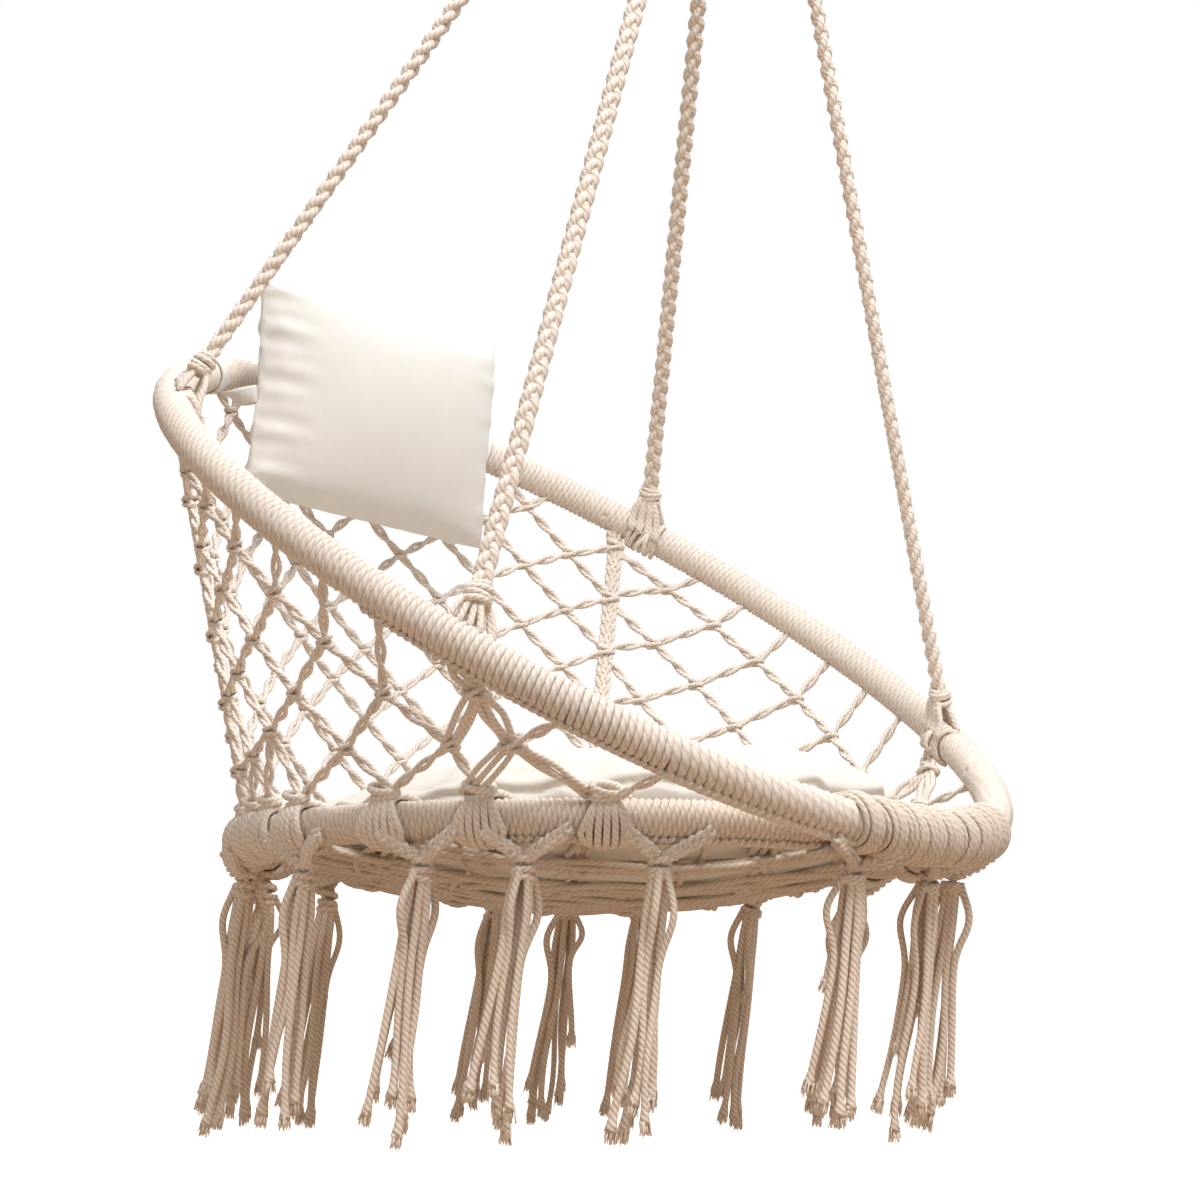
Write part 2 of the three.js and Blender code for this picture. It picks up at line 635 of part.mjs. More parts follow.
// Back net: a regular diamond lattice between two braided edges
const columnPitchDeg = (HALF_TURN_DEG - 2 * BACK_EDGE_DEG) / BACK_COLUMN_COUNT;
const columnDeg = (column) => BACK_EDGE_DEG + column * columnPitchDeg;
const backShare = (column, row) => BACK_FIRST_ROW_SHARE + BACK_ROW_PITCH_SHARE * (row + (column % 2) / 2);
const backTiesDeg = [];
for (let column = 0; column <= BACK_COLUMN_COUNT; column += 2) {
  backTiesDeg.push(columnDeg(column));
}

function backLattice() {
  const lattice = new Lattice();
  const key = (column, row) => `c${column}r${row}`;
  for (let column = 0; column <= BACK_COLUMN_COUNT; column += 1) {
    for (let row = 0; row < BACK_ROW_COUNT; row += 1) {
      addNetKnot(lattice, key(column, row), columnDeg(column), backShare(column, row));
    }
  }
  for (let column = 1; column < BACK_COLUMN_COUNT; column += 2) {
    for (let row = 0; row < BACK_ROW_COUNT; row += 1) {
      for (const neighbour of [column - 1, column + 1]) {
        lattice.addLink(key(neighbour, row), key(column, row));
        if (row + 1 < BACK_ROW_COUNT) {
          lattice.addLink(key(column, row), key(neighbour, row + 1));
        } else {
          const slot = (column - neighbour) * (neighbour % BACK_COLUMN_COUNT === 0 ? EDGE_SLOT_SHARE : 1);
          const tieDeg = tieSlotDeg(columnDeg(neighbour), slot);
          addTie(lattice, `tie${column}to${neighbour}`, key(column, row), tieDeg);
        }
      }
    }
  }
  for (let column = 2; column < BACK_COLUMN_COUNT; column += 2) {
    addAnchor(lattice, `top${column}a`, key(column, 0), columnDeg(column - 1 / 2));
    addAnchor(lattice, `top${column}b`, key(column, 0), columnDeg(column + 1 / 2));
  }
  for (const edge of [0, BACK_COLUMN_COUNT]) {
    for (let row = 1; row < BACK_ROW_COUNT; row += 1) {
      lattice.addLink(key(edge, row - 1), key(edge, row), SENNIT_WIDTH, SENNIT_THICKNESS);
    }
    addAnchor(lattice, `top${edge}`, key(edge, 0), columnDeg(edge), SENNIT_WIDTH, SENNIT_THICKNESS);
    const last = key(edge, BACK_ROW_COUNT - 1);
    addTie(lattice, `foot${edge}`, last, tieSlotDeg(columnDeg(edge), 0), SENNIT_WIDTH, SENNIT_THICKNESS);
  }
  return lattice;
}

// Yokes in order round the seat ring; where the feet are not at a tie there is an extra band
const BACK_YOKES = [
  { apexDeg: 41, feetDeg: [36.5, 40.5] },
  { apexDeg: 55, feetDeg: [51.2, 55.2] },
  { apexDeg: 92, feetDeg: [90, 94] },
  { apexDeg: 113, feetDeg: [110, 114] },
  { apexDeg: 127, feetDeg: [124.6, 128.6] },
  { apexDeg: 140, feetDeg: [139.5, 143.5] },
];
const BACK_EXTRA_BANDS_DEG = [92];
const LEFT_YOKES = [
  { apexDeg: 168, feetDeg: [164.5, 168.5] },
  { apexDeg: 192, feetDeg: [188, 197.5] },
  { apexDeg: 208, feetDeg: [201, 214.5] },
  { apexDeg: 228, feetDeg: [221.5, 230] },
];
const LEFT_EXTRA_BANDS_DEG = [229];
const RIGHT_YOKES = [
  { apexDeg: -19, feetDeg: [-21.5, -17.5] },
  { apexDeg: 5, feetDeg: [-4, 11] },
  { apexDeg: 27, feetDeg: [24.5, 28] },
];
const FRONT_YOKES_DEG = [-101, -80, -67];

function placeNet(name, lattice, bandsDeg, yokes) {
  yokes.forEach((yoke) => addSeatYoke(lattice, yoke));
  place(name, join([toSolid(lattice.build()), ...bandsDeg.map(tieBand)]), cordMaterial);
}
placeNet('back_net', backLattice(), [...backTiesDeg, ...BACK_EXTRA_BANDS_DEG], BACK_YOKES);

// Side nets: skewed diamonds whose rows start on the braided edge and follow the upper ring
const SIDE_ROW_COUNTS = [8, 6, 4, 3, 2];
const SIDE_TIES_DEG = [-19.5, -6.5, 13.5, 22.5, 30];
const SIDE_FIRST_DROP_SHARE = 0.09878;
const SIDE_ROW_DROP_SHARE = 0.15337;
const SIDE_ROW_SLOPE_SHARE = 0.0208;
const SIDE_ROW_SLOPE_GAIN_SHARE = 0.0195;
const SIDE_ROW_CURVE_SHARE = 0.00117;
const SIDE_START_DEG = 37.5;
const SIDE_STEP_DEG = 8.2;
const SIDE_STEP_GAIN_DEG = 0.25;
const ANCHOR_LEAD_DEG = 5.5;
const EDGE_GAP = 2.4;
const EDGE_STANDOFF = SENNIT_WIDTH / 2 + EDGE_GAP;
const EDGE_SLOT = 5.5;

const netHeight = (angleDeg) => upperPoint(angleDeg).distanceTo(seatPoint(angleDeg));
const edgeHeight = netHeight(BACK_EDGE_DEG);

function sideKnotPlace(row, step, side) {
  const angleDeg = mirrorDeg(SIDE_START_DEG + row - (SIDE_STEP_DEG - SIDE_STEP_GAIN_DEG * row) * step, side);
  const slope = SIDE_ROW_SLOPE_SHARE + SIDE_ROW_SLOPE_GAIN_SHARE * row;
  const startShare = SIDE_FIRST_DROP_SHARE + SIDE_ROW_DROP_SHARE * row;
  const dropShare = startShare + (slope + SIDE_ROW_CURVE_SHARE * step) * step;
  return { angleDeg, share: (dropShare * edgeHeight) / netHeight(angleDeg) };
}

const FRONT_CROTCH = { deg: -27, share: 0.27 };
const FRONT_FOOT = { deg: -29.5, share: 0.54 };
const FRONT_TIE_DEG = -37.5;
const FRONT_ANCHORS_DEG = [-41, -54];

function sideLattice(side) {
  const lattice = new Lattice();
  const key = (row, step) => `r${row}s${step}`;
  SIDE_ROW_COUNTS.forEach((count, row) => {
    for (let step = 1; step < count; step += 1) {
      const { angleDeg, share } = sideKnotPlace(row, step, side);
      addNetKnot(lattice, key(row, step), angleDeg, share);
    }
  });
  // A row begins beside the braided edge of the back net
  const addEdge = (row, toKey, slot) => {
    const edgeDeg = mirrorDeg(BACK_EDGE_DEG, side);
    const share = backShare(0, row);
    const normal = netNormal(edgeDeg, share);
    const downward = seatPoint(edgeDeg).sub(upperPoint(edgeDeg)).normalize();
    const sideways = normal.clone().cross(downward).multiplyScalar(-side);
    const start = netPoint(edgeDeg, share).addScaledVector(sideways, EDGE_STANDOFF);
    const edgeKey = `e${row}${toKey}`;
    lattice.addKnot(edgeKey, start.addScaledVector(downward, slot * EDGE_SLOT), normal, downward);
    lattice.addLink(edgeKey, toKey);
  };
  SIDE_ROW_COUNTS.forEach((count, row) => {
    addEdge(row, key(row, 1), 1);
    for (let step = 2; step < count; step += 1) {
      lattice.addLink(key(row, step - 1), key(row, step));
    }
    addTie(lattice, `t${row}`, key(row, count - 1), mirrorDeg(tieSlotDeg(SIDE_TIES_DEG[row], -1), side));
    if (row > 0) {
      addEdge(row, key(row - 1, 1), -1);
      for (let step = 1; step < count; step += 1) {
        lattice.addLink(key(row, step), key(row - 1, step + 1));
      }
      const lastAbove = key(row - 1, SIDE_ROW_COUNTS[row - 1] - 1);
      addTie(lattice, `u${row}`, lastAbove, mirrorDeg(tieSlotDeg(SIDE_TIES_DEG[row], 1), side));
    }
  });
  for (let step = 1; step < SIDE_ROW_COUNTS[0] - 1; step += 1) {
    const anchorDeg = SIDE_START_DEG - SIDE_STEP_DEG * step - ANCHOR_LEAD_DEG;
    addAnchor(lattice, `a${step}`, key(0, step), mirrorDeg(anchorDeg, side));
  }
  addNetKnot(lattice, 'crotch', mirrorDeg(FRONT_CROTCH.deg, side), FRONT_CROTCH.share);
  addNetKnot(lattice, 'foot', mirrorDeg(FRONT_FOOT.deg, side), FRONT_FOOT.share);
  const topEnd = key(0, SIDE_ROW_COUNTS[0] - 1);
  const crotchDeg = mirrorDeg(FRONT_CROTCH.deg, side);
  const underBand = HANGER_BAND_RADIUS + LEG_THICKNESS / 2;
  addEnd(lattice, 'x0', 'crotch', upperRing, crotchDeg, underBand, LEG_WIDTH, LEG_THICKNESS);
  lattice.addLink('crotch', topEnd, LEG_WIDTH, LEG_THICKNESS);
  lattice.addLink('crotch', 'foot', LEG_WIDTH, LEG_THICKNESS);
  addTie(lattice, 'x1', 'foot', mirrorDeg(tieSlotDeg(SIDE_TIES_DEG[0], 1), side));
  addTie(lattice, 'x2', 'foot', mirrorDeg(tieSlotDeg(FRONT_TIE_DEG, 1), side));
  addAnchor(lattice, 'x3', 'foot', mirrorDeg(FRONT_ANCHORS_DEG[0], side));
  // One more pair runs on from the front tie to the upper ring
  const runnerTie = mirrorDeg(tieSlotDeg(FRONT_TIE_DEG, -1), side);
  const runnerTop = mirrorDeg(FRONT_ANCHORS_DEG[1], side);
  const outward = seatPoint(runnerTie, WRAP_RADIUS).sub(seatPoint(runnerTie)).normalize();
  const runnerStart = besideRing(seatRing, runnerTie, upperPoint(runnerTop), TIE_DEPTH);
  lattice.addKnot('x4', runnerStart, outward, ringTangent(seatRing, runnerTie));
  addEnd(lattice, 'x5', 'x4', upperRing, runnerTop, WRAP_RADIUS + PAIR_THICKNESS / 2);
  return lattice;
}

function placeSideNet(side, extraBandsDeg, yokes) {
  const tiesDeg = [...SIDE_TIES_DEG, FRONT_TIE_DEG].map((angleDeg) => mirrorDeg(angleDeg, side));
  placeNet(`side_net_${sideName(side)}`, sideLattice(side), [...tiesDeg, ...extraBandsDeg], yokes);
}
placeSideNet(-1, LEFT_EXTRA_BANDS_DEG, LEFT_YOKES);
placeSideNet(1, [], RIGHT_YOKES);

// Front lashing: one cord wound round both rings where they touch
const frontUpperShare = (SEAT_RING_RADIUS + RING_SPACING) / UPPER_RING_RADIUS;
const frontPair = (offsetDeg) => ({
  seatSide: seatPoint(offsetDeg - RIGHT_ANGLE_DEG),
  upperSide: upperPoint(offsetDeg * frontUpperShare - RIGHT_ANGLE_DEG),
});

function lashingStations() {
  const count = LASHING_LOOPS * LASHING_STATIONS;
  const stations = [];
  for (let i = 0; i <= count; i += 1) {
    const offsetDeg = THREE.MathUtils.lerp(LASHING_FROM_DEG, LASHING_TO_DEG, i / count);
    const { seatSide, upperSide } = frontPair(offsetDeg);
    const outward = upperSide.clone().sub(seatSide).normalize();
    const along = frontPair(offsetDeg + PROBE_DEG).seatSide.sub(seatSide).normalize();
    const upward = along.clone().cross(outward).normalize();
    const turn = (FULL_TURN * i) / LASHING_STATIONS;
    const centre = Math.cos(turn) > 0 ? upperSide : seatSide;
    const station = centre.clone().addScaledVector(outward, LASHING_REACH * Math.cos(turn));
    stations.push(station.addScaledVector(upward, LASHING_REACH * Math.sin(turn)));
  }
  return stations;
}

function leastSelfGap(stations, perLoop, cordRadius) {
  let least = Infinity;
  for (let i = 0; i < stations.length; i += 1) {
    for (let j = i + Math.round(perLoop / 2); j < stations.length; j += 1) {
      least = Math.min(least, stations[i].distanceTo(stations[j]));
    }
  }
  return least - 2 * cordRadius;
}

const lashingRoute = lashingStations();
const lashingGap = leastSelfGap(lashingRoute, LASHING_STATIONS, LASHING_CORD_RADIUS);
console.log(`Front lashing: least gap to itself ${lashingGap.toFixed(2)} mm`);

const frontMiddle = (angleDeg) => {
  const { seatSide, upperSide } = frontPair(angleDeg + RIGHT_ANGLE_DEG);
  return mix(seatSide, upperSide, 1 / 2);
};
const frontApex = (angleDeg) => apexBelow(frontMiddle(angleDeg));

// The front tassels hang from cords tied into the lashing
function frontYoke(angleDeg) {
  const lattice = new Lattice();
  const feetDeg = [-FRONT_YOKE_SPREAD_DEG, FRONT_YOKE_SPREAD_DEG].map((spreadDeg) => angleDeg + spreadDeg);
  addYoke(lattice, frontApex(angleDeg), feetDeg, (key, fromKey, footDeg) => {
    const from = lattice.knots.get(fromKey);
    const foot = frontMiddle(footDeg).add(vector(0, 0, -LASHING_REACH));
    lattice.addKnot(key, foot, from.normal);
    lattice.addLink(fromKey, key);
  });
  return toSolid(lattice.build());
}

function makeFrontLashing() {
  const winding = toSolid(sweep(lashingRoute, LASHING_CORD_RADIUS, LASHING_CORD_SIDES));
  const yokes = FRONT_YOKES_DEG.map((angleDeg) => frontYoke(angleDeg));
  place('front_lashing', join([winding, ...yokes]), cordMaterial);
}
makeFrontLashing();

// Seat net: two families of crossing cords that sag between the sides of the seat ring
const seatNetHeight = (reach) => -SEAT_SAG * (1 - (reach / SEAT_RING_RADIUS) ** 2);
const DIAGONAL = Math.SQRT1_2;

function seatNetPlace(one, other) {
  const x = (one - other) * DIAGONAL;
  const y = (one + other) * DIAGONAL;
  return { x, y, reach: Math.hypot(x, y) };
}

function seatNetPoint(x, y) {
  return vector(x, y, seatNetHeight(Math.hypot(x, y))).applyMatrix4(seatFrame);
}

// A cord of the net stops short of whatever is bound round the ring at its end
function seatNetEndReach(angleDeg) {
  const bandsDeg = [...backTiesDeg, ...BACK_EXTRA_BANDS_DEG, ...LEFT_EXTRA_BANDS_DEG];
  for (const side of [-1, 1]) {
    [...SIDE_TIES_DEG, FRONT_TIE_DEG].forEach((deg) => bandsDeg.push(mirrorDeg(deg, side)));
  }
  const wrapDeg = (deg) => THREE.MathUtils.euclideanModulo(deg + HALF_TURN_DEG, FULL_TURN_DEG) - HALF_TURN_DEG;
  const awayDeg = (deg) => Math.abs(wrapDeg(angleDeg - bandCentreDeg(seatRing, deg, TIE_BAND_WIDTH)));
  const frontOffset = wrapDeg(angleDeg + RIGHT_ANGLE_DEG);
  if (frontOffset > LASHING_FROM_DEG - BAND_GUARD_DEG && frontOffset < LASHING_TO_DEG + BAND_GUARD_DEG) {
    return LASHING_REACH + LASHING_CORD_RADIUS + CLEARANCE;
  }
  const isNearBand = bandsDeg.some((deg) => awayDeg(deg) < BAND_GUARD_DEG);
  return isNearBand ? TIE_BAND_RADIUS + NET_BAND_GAP : WRAP_RADIUS + CLEARANCE;
}

function seatLattice() {
  const lattice = new Lattice();
  const up = vector(0, 0, 1).transformDirection(seatFrame);
  const offsets = [];
  for (let i = 0; i < 2 * SEAT_NET_HALF_COUNT; i += 1) {
    offsets.push((i + 1 / 2 - SEAT_NET_HALF_COUNT) * SEAT_NET_PITCH);
  }
  const key = (i, j) => `i${i}j${j}`;
  const limit = SEAT_RING_RADIUS - SEAT_NET_RIM;
  offsets.forEach((one, i) => {
    offsets.forEach((other, j) => {
      const { x, y, reach } = seatNetPlace(one, other);
      if (reach < limit) {
        lattice.addKnot(key(i, j), seatNetPoint(x, y), up);
      }
    });
  });
  const addEnds = (at, lineOffset, isFirstFamily, sign) => {
    const travel = sign * Math.sqrt(SEAT_RING_RADIUS ** 2 - lineOffset ** 2);
    const { x, y } = isFirstFamily ? seatNetPlace(travel, lineOffset) : seatNetPlace(lineOffset, travel);
    const angleDeg = THREE.MathUtils.radToDeg(Math.atan2(y, x));
    const facing = lattice.knots.get(at).centre;
    const end = besideRing(seatRing, angleDeg, facing, seatNetEndReach(angleDeg));
    const endKey = `end${at}${isFirstFamily}${sign}`;
    lattice.addKnot(endKey, end, up, ringTangent(seatRing, angleDeg));
    lattice.addLink(at, endKey);
  };
  const runLine = (lineOffset, keys, isFirstFamily) => {
    const present = keys.filter((name) => lattice.knots.has(name));
    for (let k = 1; k < present.length; k += 1) {
      lattice.addLink(present[k - 1], present[k]);
    }
    addEnds(present[0], lineOffset, isFirstFamily, -1);
    addEnds(present[present.length - 1], lineOffset, isFirstFamily, 1);
  };
  offsets.forEach((offset, line) => {
    runLine(offset, offsets.map((_, k) => key(k, line)), true);
    runLine(offset, offsets.map((_, k) => key(line, k)), false);
  });
  return lattice;
}
place('seat_net', seatLattice().build(), cordMaterial);

// Tassels: a bound head over a skirt of cords that opens toward its uneven ends
function tasselGeometry() {
  const bandShares = [
    { ridge: TASSEL_TOP_SHARE, groove: TASSEL_TOP_SHARE, height: TASSEL_CROWN / TASSEL_LENGTH },
    { ridge: 1, groove: 1, height: TASSEL_HEAD_LENGTH / TASSEL_LENGTH / 2 },
    { ridge: TASSEL_WAIST_SHARE, groove: TASSEL_WAIST_GROOVE_SHARE, height: TASSEL_HEAD_LENGTH / TASSEL_LENGTH },
    { ridge: TASSEL_SPLAY / TASSEL_HEAD_RADIUS, groove: TASSEL_SKIRT_GROOVE_SHARE, height: TASSEL_SKIRT_SHARE },
  ];
  const ringSize = 2 * TASSEL_CORDS;
  const points = [];
  const indices = [];
  const pushRing = (ridge, groove, heightOf) => {
    for (let i = 0; i < ringSize; i += 1) {
      const angle = (FULL_TURN * i) / ringSize;
      const radius = TASSEL_HEAD_RADIUS * (i % 2 === 0 ? ridge : groove);
      points.push(vector(radius * Math.cos(angle), radius * Math.sin(angle), -heightOf(i)));
    }
  };
  bandShares.forEach(({ ridge, groove, height }) => pushRing(ridge, groove, () => height * TASSEL_LENGTH));
  const unevenShares = [1, 0.955, 0.985, 0.94, 0.97];
  const last = bandShares[bandShares.length - 1];
  pushRing(last.ridge, last.groove, (i) => {
    const cordLength = TASSEL_LENGTH * unevenShares[Math.floor(i / 2)];
    return i % 2 === 0 ? cordLength : cordLength - TASSEL_NOTCH;
  });
  for (let ring = 0; ring < bandShares.length; ring += 1) {
    for (let i = 0; i < ringSize; i += 1) {
      const a = ring * ringSize + i;
      const b = ring * ringSize + ((i + 1) % ringSize);
      indices.push(a, a + ringSize, b + ringSize, a, b + ringSize, b);
    }
  }
  const base = bandShares.length * ringSize;
  const top = points.push(vector(0, 0, 0)) - 1;
  const bottom = points.push(vector(0, 0, -TASSEL_LENGTH + 2 * TASSEL_NOTCH)) - 1;
  for (let i = 0; i < ringSize; i += 1) {
    const next = (i + 1) % ringSize;
    indices.push(top, i, next, bottom, base + next, base + i);
  }
  const geometry = new THREE.BufferGeometry().setFromPoints(points);
  geometry.setIndex(indices);
  return geometry;
}

function tasselApexes() {
  const onSeatRing = [...LEFT_YOKES, ...BACK_YOKES, ...RIGHT_YOKES].map(({ apexDeg }) => seatPoint(apexDeg));
  return [...onSeatRing.map(apexBelow), ...FRONT_YOKES_DEG.map(frontApex)];
}

const tasselShape = tasselGeometry();
tasselApexes().forEach((apex, i) => {
  const label = String(i + 1).padStart(2, '0');
  const mesh = place(`tassel_${label}`, tasselShape.clone(), cordMaterial);
  mesh.position.copy(apex).add(vector(0, 0, -YOKE_STUB_LENGTH - CLEARANCE));
});

// Seat cushion: a round crowned pad, fuller at the front, whose underside follows the sagging net
const CUSHION_SEAM_RADIUS = SEAT_RING_RADIUS - WRAP_RADIUS - CUSHION_RING_GAP;
function makeSeatCushion() {
  const floorHeight = (reach) => seatNetHeight(reach) + PAIR_THICKNESS * KNOT_BULGE + CUSHION_NET_GAP;
  const undersideShares = [0, 0.32, 0.6, 0.8, 0.908];
  const sideShares = [
    [0.975, 0.36],
    [1, 1],
    [0.985, 1.42],
    [0.93, 1.8],
  ];
  const crownShares = [
    [0.8, 0.86],
    [0.6, 0.95],
    [0.3, 0.99],
    [0, 1],
  ];
  const profile = [
    ...undersideShares
      .map((share) => share * CUSHION_SEAM_RADIUS)
      .map((reach) => new THREE.Vector2(reach, floorHeight(reach))),
    ...sideShares.map(([r, h]) => new THREE.Vector2(r * CUSHION_SEAM_RADIUS, h * CUSHION_SEAM_HEIGHT)),
    ...crownShares.map(([r, h]) => new THREE.Vector2(r * CUSHION_SEAM_RADIUS, h * CUSHION_CROWN_HEIGHT)),
  ];
  const geometry = new THREE.LatheGeometry(profile, CUSHION_SEGMENTS).rotateX(radians(RIGHT_ANGLE_DEG));
  const { position } = geometry.attributes;
  for (let i = 0; i < position.count; i += 1) {
    const height = position.getZ(i);
    const forward = -position.getY(i) / CUSHION_SEAM_RADIUS;
    position.setZ(i, height > 0 ? height * (1 + CUSHION_FRONT_RISE_SHARE * forward) : height);
  }
  place('seat_cushion', geometry.applyMatrix4(seatFrame), clothMaterial);
}
makeSeatCushion();

// Pillow: a knife-edged pad with drawn-in sides that stands against the back of the upper ring
const PILLOW_DRAW_SHARE = 0.05;
const pillowRest = upperPoint(RIGHT_ANGLE_DEG);
const PILLOW_CENTRE = vector(
  PILLOW_CENTRE_X,
  pillowRest.y - WRAP_RADIUS - PILLOW_THICKNESS / 2 - PILLOW_GAP,
  pillowRest.z - WRAP_RADIUS,
);

function pillowGeometry() {
  const positions = [];
  const indices = [];
  const face = (facing) => {
    const first = positions.length / COORDINATES;
    for (let row = 0; row <= PILLOW_ROWS; row += 1) {
      for (let column = 0; column <= PILLOW_COLUMNS; column += 1) {
        const u = -Math.cos((Math.PI * column) / PILLOW_COLUMNS);
        const v = -Math.cos((Math.PI * row) / PILLOW_ROWS);
        const x = (PILLOW_WIDTH / 2) * u * (1 - PILLOW_DRAW_SHARE * (1 - v * v));
        const z = (PILLOW_HEIGHT / 2) * v * (1 - PILLOW_DRAW_SHARE * (1 - u * u));
        const swell = ((1 - u * u) * (1 - v * v)) ** PILLOW_SWELL_POWER;
        const y = (facing * PILLOW_THICKNESS * swell) / 2 - PILLOW_BEND * u * u;
        positions.push(x, y, z);
      }
    }
    for (let row = 0; row < PILLOW_ROWS; row += 1) {
      for (let column = 0; column < PILLOW_COLUMNS; column += 1) {
        const a = first + row * (PILLOW_COLUMNS + 1) + column;
        const b = a + 1;
        const c = a + PILLOW_COLUMNS + 1;
        const d = c + 1;
        indices.push(...(facing < 0 ? [a, b, d, a, d, c] : [a, d, b, a, c, d]));
      }
    }
  };
  face(-1);
  face(1);
  const geometry = new THREE.BufferGeometry();
  geometry.setAttribute('position', new THREE.Float32BufferAttribute(positions, COORDINATES));
  geometry.setIndex(indices);
  return mergeVertices(geometry).translate(PILLOW_CENTRE.x, PILLOW_CENTRE.y, PILLOW_CENTRE.z);
}
place('pillow', pillowGeometry(), clothMaterial);

// Straps: cloth loops round the ring, each with a tongue that is sewn to the pillow's side seam
function makeStrap(side) {
  const angleDeg = mirrorDeg(STRAP_RING_DEG, side);
  const bore = WRAP_RADIUS + CLEARANCE;
  const loop = bandSleeve(upperRing, angleDeg, STRAP_WIDTH, bore + STRAP_THICKNESS, bore);
  const seamReach = (PILLOW_WIDTH / 2) * (1 - PILLOW_DRAW_SHARE);
  const seam = PILLOW_CENTRE.clone().add(vector(side * seamReach, -PILLOW_BEND, 0));
  const toRing = upperPoint(angleDeg).sub(seam).normalize();
  seam.x += side * STRAP_TONGUE_RADIUS * Math.abs(toRing.y);
  const meet = besideRing(upperRing, angleDeg, seam, bore + STRAP_MEET_SHARE * STRAP_THICKNESS);
  const tongue = strand(seam, meet, STRAP_TONGUE_RADIUS, SECTION_SIDES);
  place(`pillow_strap_${sideName(side)}`, loop.add(tongue), clothMaterial);
}
makeStrap(-1);
makeStrap(1);

export default chair;
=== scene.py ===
import json
import math

import bpy
import numpy as np
from mathutils import Matrix, Vector

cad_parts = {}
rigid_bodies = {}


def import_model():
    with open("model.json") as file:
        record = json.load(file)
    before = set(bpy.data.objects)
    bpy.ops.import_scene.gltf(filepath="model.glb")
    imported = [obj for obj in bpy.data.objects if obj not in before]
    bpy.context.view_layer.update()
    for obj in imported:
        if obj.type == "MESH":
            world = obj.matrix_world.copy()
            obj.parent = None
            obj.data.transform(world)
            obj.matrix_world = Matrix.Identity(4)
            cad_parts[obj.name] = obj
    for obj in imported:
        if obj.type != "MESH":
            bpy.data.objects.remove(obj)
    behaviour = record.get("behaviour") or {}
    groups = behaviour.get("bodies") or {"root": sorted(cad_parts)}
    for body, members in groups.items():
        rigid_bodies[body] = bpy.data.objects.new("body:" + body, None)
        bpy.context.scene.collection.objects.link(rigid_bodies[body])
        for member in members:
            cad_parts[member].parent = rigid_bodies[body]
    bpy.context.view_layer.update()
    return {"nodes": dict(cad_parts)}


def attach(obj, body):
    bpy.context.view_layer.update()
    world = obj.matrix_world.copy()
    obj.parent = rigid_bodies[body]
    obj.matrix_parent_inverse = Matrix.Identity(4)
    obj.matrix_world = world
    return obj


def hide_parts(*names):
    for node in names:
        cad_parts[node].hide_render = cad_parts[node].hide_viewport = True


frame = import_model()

chance = np.random.default_rng(11)
TURN = 2 * math.pi
scene = bpy.context.scene

# The camera that fits the photograph, for a frame of 1200 pixels
FRAME_PIXELS = 1200
FOCAL_PIXELS = 2646
AZIMUTH_DEG, ELEVATION_DEG, ROLL_DEG = -52.07, -4.88, 6.81
CAMERA_DISTANCE, CAMERA_RIGHT, CAMERA_UP = 2.331, 0.007, 0.219
SEAT_CENTRE = np.array([0.0, 0.0, -1.269])


def new_object(name, data):
    made = bpy.data.objects.new(name, data)
    scene.collection.objects.link(made)
    return made


def set_camera():
    azimuth, elevation, roll = map(math.radians, (AZIMUTH_DEG, ELEVATION_DEG, ROLL_DEG))
    back = np.array([
        math.sin(azimuth) * math.cos(elevation),
        -math.cos(azimuth) * math.cos(elevation),
        math.sin(elevation),
    ])
    level = np.array([math.cos(azimuth), math.sin(azimuth), 0])
    upward = np.cross(back, level)
    rightward = math.cos(roll) * level + math.sin(roll) * upward
    upward = -math.sin(roll) * level + math.cos(roll) * upward
    eye = SEAT_CENTRE + back * CAMERA_DISTANCE + rightward * CAMERA_RIGHT + upward * CAMERA_UP
    data = bpy.data.cameras.new("photo_camera")
    data.sensor_width = 36
    data.lens = FOCAL_PIXELS * data.sensor_width / FRAME_PIXELS
    data.clip_end = 60
    camera = new_object("photo_camera", data)
    turn = Matrix(np.stack([rightward, upward, back], 1).tolist()).to_4x4()
    camera.matrix_world = Matrix.Translation(Vector(eye)) @ turn
    scene.camera = camera


set_camera()
scene.view_settings.view_transform = "Standard"

FACET_DEG = 9
# Radii of a cord and of the lines round a ring's section, metres
CORD = 0.0025
WRAP_REACH = 0.016
TIE_REACH = 0.0183
# Loose fibres and hems have few sides and show no plies
HAIR_SIDES = 4
HAIR_RADII = [0.0007, 0.0006, 0.0003]
PLY_CROWN_UV = [1 / 6, 0.0]
DOWN = np.array([0, 0, -1.0])


def unit(v):
    v = np.asarray(v, float)
    return v / np.maximum(np.linalg.norm(v, axis=-1, keepdims=True), 1e-12)


SIDES = {-1: "left", 1: "right"}


def mirrored(deg, side):
    return 180 - deg if side < 0 else deg


def clamp(value, low, high):
    return max(low, min(high, value))


def square(v, axis):
    """The direction of the part of v that is square to an axis"""
    return unit(v - axis * (v * axis).sum(-1, keepdims=True))


